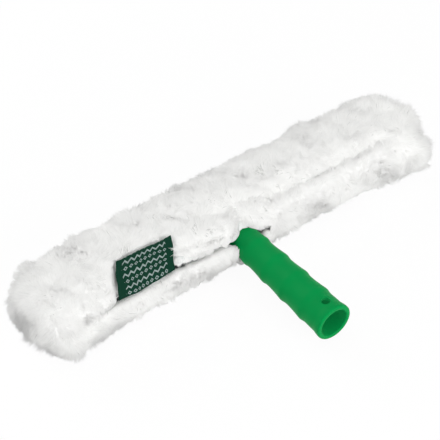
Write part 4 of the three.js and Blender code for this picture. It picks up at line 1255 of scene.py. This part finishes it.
class WASHER_OT_hems(bpy.types.Operator):
    """Adds the hem tapes on the lips of the slit, round the handle's neck too"""
    bl_idname = "washer.hems"
    bl_label = "Hem tapes"

    def execute(self, context):
        tape = woven_tape("woven_hem_tape", context.scene.washer_sleeve.hem_colour)
        points, _ = cloth_points()
        stations = cloth_stations()
        upper, lower = (points[(stations > HEM_START) & (stations < end)]
                        for end in (UPPER_HEM_END, LOWER_HEM_END))
        self.add("upper_hem", upper[:, -UPPER_HEM_POINTS:], tape, "upper_lip_hem")
        self.add("lower_hem", lower[:, :LOWER_HEM_POINTS], tape, "lower_lip_hem")
        return {"FINISHED"}

    def add(self, name, points, material, node):
        """A hem over a lip's edge, from the cloth's own points."""
        bm = sheet_from(points, weld=False)
        for vert in bm.verts:
            vert.co += vert.normal * HEM_STANDOFF
        piece = piece_from(bm, name, "washer", material)
        add_wall(piece, HEM_WALL, 0)
        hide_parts(node)


class WASHER_OT_label(bpy.types.Operator):
    """Adds the woven label on the upper lip"""
    bl_idname = "washer.label"
    bl_label = "Woven label"

    def execute(self, context):
        settings = context.scene.washer_label
        across, upward = np.meshgrid(*(np.linspace(0, 1, count) for count in LABEL_POINTS), indexing="ij")
        points = label_place(across, upward, LABEL_DEPTH)
        chord = points[:, :1] + (points[:, -1:] - points[:, :1]) * upward[..., None]
        points[..., 1:] += LABEL_TAUTNESS * (chord - points)[..., 1:]
        flat = points.reshape(-1, 3)
        flat += sum(depth * wave_vectors(flat, size, seed) for depth, size, seed in LABEL_RIPPLES)
        bm = sheet_from(flat.reshape(points.shape), weld=False)
        cloth = woven_label_cloth(settings.ground, settings.thread, settings.row_pitch)
        label = piece_from(bm, "label", "washer", cloth)
        add_wall(label, LABEL_WALL, 1)
        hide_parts("woven_label")
        return {"FINISHED"}


class WASHER_OT_flap(bpy.types.Operator):
    """Adds the closing flap with its pile and its hem"""
    bl_idname = "washer.flap"
    bl_label = "Closing flap"

    def execute(self, context):
        settings = context.scene.washer_sleeve
        bm = sheet_from(*self.front(), weld=False)
        cloth = piece_from(bm, "flap_cloth", "flap", packed_pile(settings.pile_colour))
        rng = np.random.default_rng(FLAP_SEED)
        # The yarns spread over the flap's ends and fold, so that none shows bare
        pile = comb([cloth], FLAP_ROOTS, settings, rng, LEAN_OVER_FLAP)
        add_wall(cloth, FLAP_WALL, -1)
        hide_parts("closing_flap")
        add_pile("flap_pile", pile, settings.yarn_width / MM, "flap",
                 acrylic_pile(settings.pile_colour), rng)
        self.hem(woven_tape("woven_flap_hem", settings.hem_colour))
        return {"FINISHED"}

    def front(self):
        """The flap's cloth from the fold at the top to the hem, its ends turned back, and its pile."""
        line = polyline(FLAP_OUTLINE, FLAP_POINTS)
        start, stop = FLAP_INNER
        xs = np.r_[FLAP_LEFT + FLAP_EDGES, np.arange(FLAP_LEFT + start, FLAP_RIGHT - stop, FLAP_STEP),
                   FLAP_RIGHT - FLAP_EDGES[::-1]]
        rings = []
        for x in xs:
            ring = line.copy()
            ring[:, 0] += FLAP_TURN * (1 - ease(min(x - FLAP_LEFT, FLAP_RIGHT - x) / FLAP_TURN_RUN)) ** 2
            rings.append(np.column_stack([np.full(len(ring), x), ring]))
        points = np.array(rings)
        flat = points.reshape(-1, 3)
        depth, size, seed = FLAP_WAVE
        flat[:, 1] += depth * waves(flat, size, seed) * within(flat, FLAP_WAVE_ZONE)
        pile = FLAP_PILE - mound(line[:, 0], *FLAP_FOLD_PILE) - mound(line[:, 1], *FLAP_HEM_PILE)
        return points, np.tile(pile, (len(xs), 1))

    def hem(self, material):
        """The hem that binds the flap's lower edge."""
        low, high = (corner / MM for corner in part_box("flap_hem"))
        bottom, top = FLAP_HEM_MIDDLE - FLAP_HEM_HEIGHT / 2, FLAP_HEM_MIDDLE + FLAP_HEM_HEIGHT / 2
        bm = block((low.x, low.y, bottom), (high.x, high.y, top), FLAP_HEM_ROUND)
        mapped = bm.loops.layers.uv.new("cloth")
        for face in bm.faces:
            for loop in face.loops:
                loop[mapped].uv = (loop.vert.co.x * MM, (loop.vert.co.y + loop.vert.co.z) * MM)
        piece = piece_from(bm, "flap_hem_tape", "flap", material)
        sharpen(piece, STRIP_CRISP)
        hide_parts("flap_hem")


class WASHER_OT_tapes(bpy.types.Operator):
    """Adds the hook tape on the flap and the loop tape on the lower lip"""
    bl_idname = "washer.tapes"
    bl_label = "Fastening tapes"

    def execute(self, context):
        hooks = nylon("drawn_nylon_hooks", linear("#dfe2e0"))
        loops = nylon("brushed_nylon_loops", linear("#e8eae8"))
        self.add("flap_hook_tape", "hook_tape", "flap", "hook_nylon", hooks, -1)
        self.add("lip_loop_tape", "loop_tape", "washer", "loop_nylon", loops, 1)
        return {"FINISHED"}

    def add(self, name, node, body, slot, material, side):
        """A bevelled strip with rows of small hooks or loops on the face that meets the other tape."""
        low, high = (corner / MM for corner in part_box(node))
        front, back = (low.y, low.y + STRIP_DEPTH) if side < 0 else (high.y - STRIP_DEPTH, high.y)
        bm = block((low.x, front, low.z), (high.x, back, high.z), STRIP_ROUND, STRIP_SEGMENTS)
        face = back if side < 0 else front
        xs, zs = (np.arange(start + first, end - last, step) for (start, end), (first, last), step in zip(
            ((low.x, high.x), (low.z, high.z)), PRONG_MARGINS, PRONG_STEPS))
        for x in xs:
            for z in zs:
                self.prong(bm, x, face, z, side)
        piece = piece_from(bm, name, body, material)
        sharpen(piece, STRIP_CRISP)
        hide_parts(node)

    def prong(self, bm, x, face, z, side):
        """One hook or loop, drawn as a short prong of a few faces."""
        made = bmesh.ops.create_cone(bm, cap_ends=True, segments=4, radius1=PRONG_FOOT, radius2=PRONG_TIP,
                                     depth=PRONG_LENGTH)["verts"]
        turn = Matrix.Rotation(math.radians(90 * side), 3, "X")
        bmesh.ops.rotate(bm, cent=(0, 0, 0), matrix=turn, verts=made)
        bmesh.ops.translate(bm, vec=(x, face - side * PRONG_STANDOFF, z), verts=made)


class WASHER_OT_stage(bpy.types.Operator):
    """Adds the floor, the lights and the camera"""
    bl_idname = "washer.stage"
    bl_label = "Stage"

    def execute(self, context):
        settings = context.scene.washer_stage
        self.floor()
        self.world(settings.fill_level)
        for name, (place, size, share) in LAMPS.items():
            self.lamp(name, place, size, settings.key_power * share)
        self.camera()
        context.scene.view_settings.view_transform = "Standard"
        return {"FINISHED"}

    def floor(self):
        """A pale floor that the camera sees almost white, with the washer's faint shadow."""
        bm = bmesh.new()
        bmesh.ops.create_grid(bm, x_segments=1, y_segments=1, size=FLOOR_SIZE)
        bmesh.ops.translate(bm, vec=(0, 0, -FLOOR_DROP), verts=bm.verts)
        mesh = bpy.data.meshes.new("floor")
        bm.to_mesh(mesh)
        bm.free()
        material = bpy.data.materials.new("pale_floor")
        material.use_nodes = True
        tree = material.node_tree
        tree.nodes.clear()
        plain = add_node(tree, "ShaderNodeBsdfDiffuse", {"Color": rgba(linear("#ececec"))})
        clean = add_node(tree, "ShaderNodeBsdfDiffuse", {"Color": (1, 1, 1, 1)})
        white = add_node(tree, "ShaderNodeEmission", {"Color": (1, 1, 1, 1), "Strength": 1.0})
        seen = add_node(tree, "ShaderNodeMixShader", {
            0: FLOOR_WHITE_SHARE, 1: clean.outputs[0], 2: white.outputs[0]})
        path = add_node(tree, "ShaderNodeLightPath")
        either = add_node(tree, "ShaderNodeMath", {
            0: path.outputs["Is Camera Ray"], 1: path.outputs["Is Glossy Ray"]}, operation="MAXIMUM")
        shown = add_node(tree, "ShaderNodeMixShader", {
            0: either.outputs[0], 1: plain.outputs[0], 2: seen.outputs[0]})
        add_node(tree, "ShaderNodeOutputMaterial", {"Surface": shown.outputs[0]})
        mesh.materials.append(material)
        floor = bpy.data.objects.new("floor", mesh)
        bpy.context.scene.collection.objects.link(floor)

    def world(self, level):
        """A plain sky: white where the camera and gloss see it, a soft fill for the rest."""
        world = bpy.data.worlds.new("studio")
        world.use_nodes = True
        tree = world.node_tree
        tree.nodes.clear()
        path = add_node(tree, "ShaderNodeLightPath")
        seen = add_node(tree, "ShaderNodeMath", {
            0: path.outputs["Is Camera Ray"], 1: path.outputs["Is Glossy Ray"]}, operation="MAXIMUM")
        either = add_node(tree, "ShaderNodeMath", {
            0: seen.outputs[0], 1: path.outputs["Is Transmission Ray"]}, operation="MAXIMUM")
        strength = add_node(tree, "ShaderNodeMapRange", {
            "Value": either.outputs[0], "To Min": level, "To Max": 1.0})
        sky = add_node(tree, "ShaderNodeBackground", {
            "Color": (1, 1, 1, 1), "Strength": strength.outputs[0]})
        add_node(tree, "ShaderNodeOutputWorld", {"Surface": sky.outputs[0]})
        bpy.context.scene.world = world

    def lamp(self, name, place, size, power):
        """A soft square lamp that looks at the washer."""
        light = bpy.data.lights.new(name, "AREA")
        light.energy, light.size = power, size
        light.cycles.use_multiple_importance_sampling = False
        obj = bpy.data.objects.new(name, light)
        obj.location = place
        obj.rotation_euler = (LAMP_AIM - Vector(place)).to_track_quat("-Z", "Y").to_euler()
        obj.visible_camera = False
        bpy.context.scene.collection.objects.link(obj)

    def camera(self):
        """The camera at the photograph's angle, level, aimed at the sleeve's middle."""
        back = Vector((math.sin(CAMERA_AZIMUTH) * math.cos(CAMERA_ELEVATION),
                       -math.cos(CAMERA_AZIMUTH) * math.cos(CAMERA_ELEVATION), math.sin(CAMERA_ELEVATION)))
        data = bpy.data.cameras.new("camera")
        data.sensor_width, data.lens = SENSOR, PHOTO_FOCAL / PHOTO_WIDTH * SENSOR
        data.shift_x, data.shift_y = (pixels / PHOTO_WIDTH for pixels in PHOTO_SHIFT)
        camera = bpy.data.objects.new("camera", data)
        camera.location = CAMERA_AIM + back * CAMERA_DISTANCE
        camera.rotation_euler = (-back).to_track_quat("-Z", "Y").to_euler()
        bpy.context.scene.collection.objects.link(camera)
        bpy.context.scene.camera = camera


class WASHER_PT_panel(bpy.types.Panel):
    """Lists the washer's pieces in the sidebar"""
    bl_idname = "WASHER_PT_panel"
    bl_label = "Window strip washer"
    bl_space_type = "VIEW_3D"
    bl_region_type = "UI"
    bl_category = "Washer"

    def draw(self, context):
        """Draws a button for each step, and then the settings."""
        for operator in OPERATORS:
            self.layout.operator(operator.bl_idname)
        for settings in GROUPS:
            box = self.layout.box()
            for name in getattr(context.scene, settings).bl_rna.properties.keys():
                if name not in ("rna_type", "name"):
                    box.prop(getattr(context.scene, settings), name)


OPERATORS = (WASHER_OT_metal, WASHER_OT_handle, WASHER_OT_cloth, WASHER_OT_pile, WASHER_OT_hems,
             WASHER_OT_label, WASHER_OT_flap, WASHER_OT_tapes, WASHER_OT_stage)
GROUPS = {"washer_sleeve": SleeveSettings, "washer_handle": HandleSettings, "washer_label": LabelSettings,
          "washer_stage": StageSettings}


def register():
    """Registers the settings, the operators and the panel."""
    for settings in GROUPS.values():
        bpy.utils.register_class(settings)
    for name, settings in GROUPS.items():
        setattr(bpy.types.Scene, name, PointerProperty(type=settings))
    for operator in OPERATORS:
        bpy.utils.register_class(operator)
    bpy.utils.register_class(WASHER_PT_panel)


def unregister():
    """Takes the panel, the operators and the settings away again."""
    bpy.utils.unregister_class(WASHER_PT_panel)
    for operator in reversed(OPERATORS):
        bpy.utils.unregister_class(operator)
    for name, settings in GROUPS.items():
        delattr(bpy.types.Scene, name)
        bpy.utils.unregister_class(settings)


def main():
    """Makes every piece in order."""
    register()
    for operator in OPERATORS:
        family, name = operator.bl_idname.split(".")
        getattr(getattr(bpy.ops, family), name)()


if __name__ == "__main__":
    main()
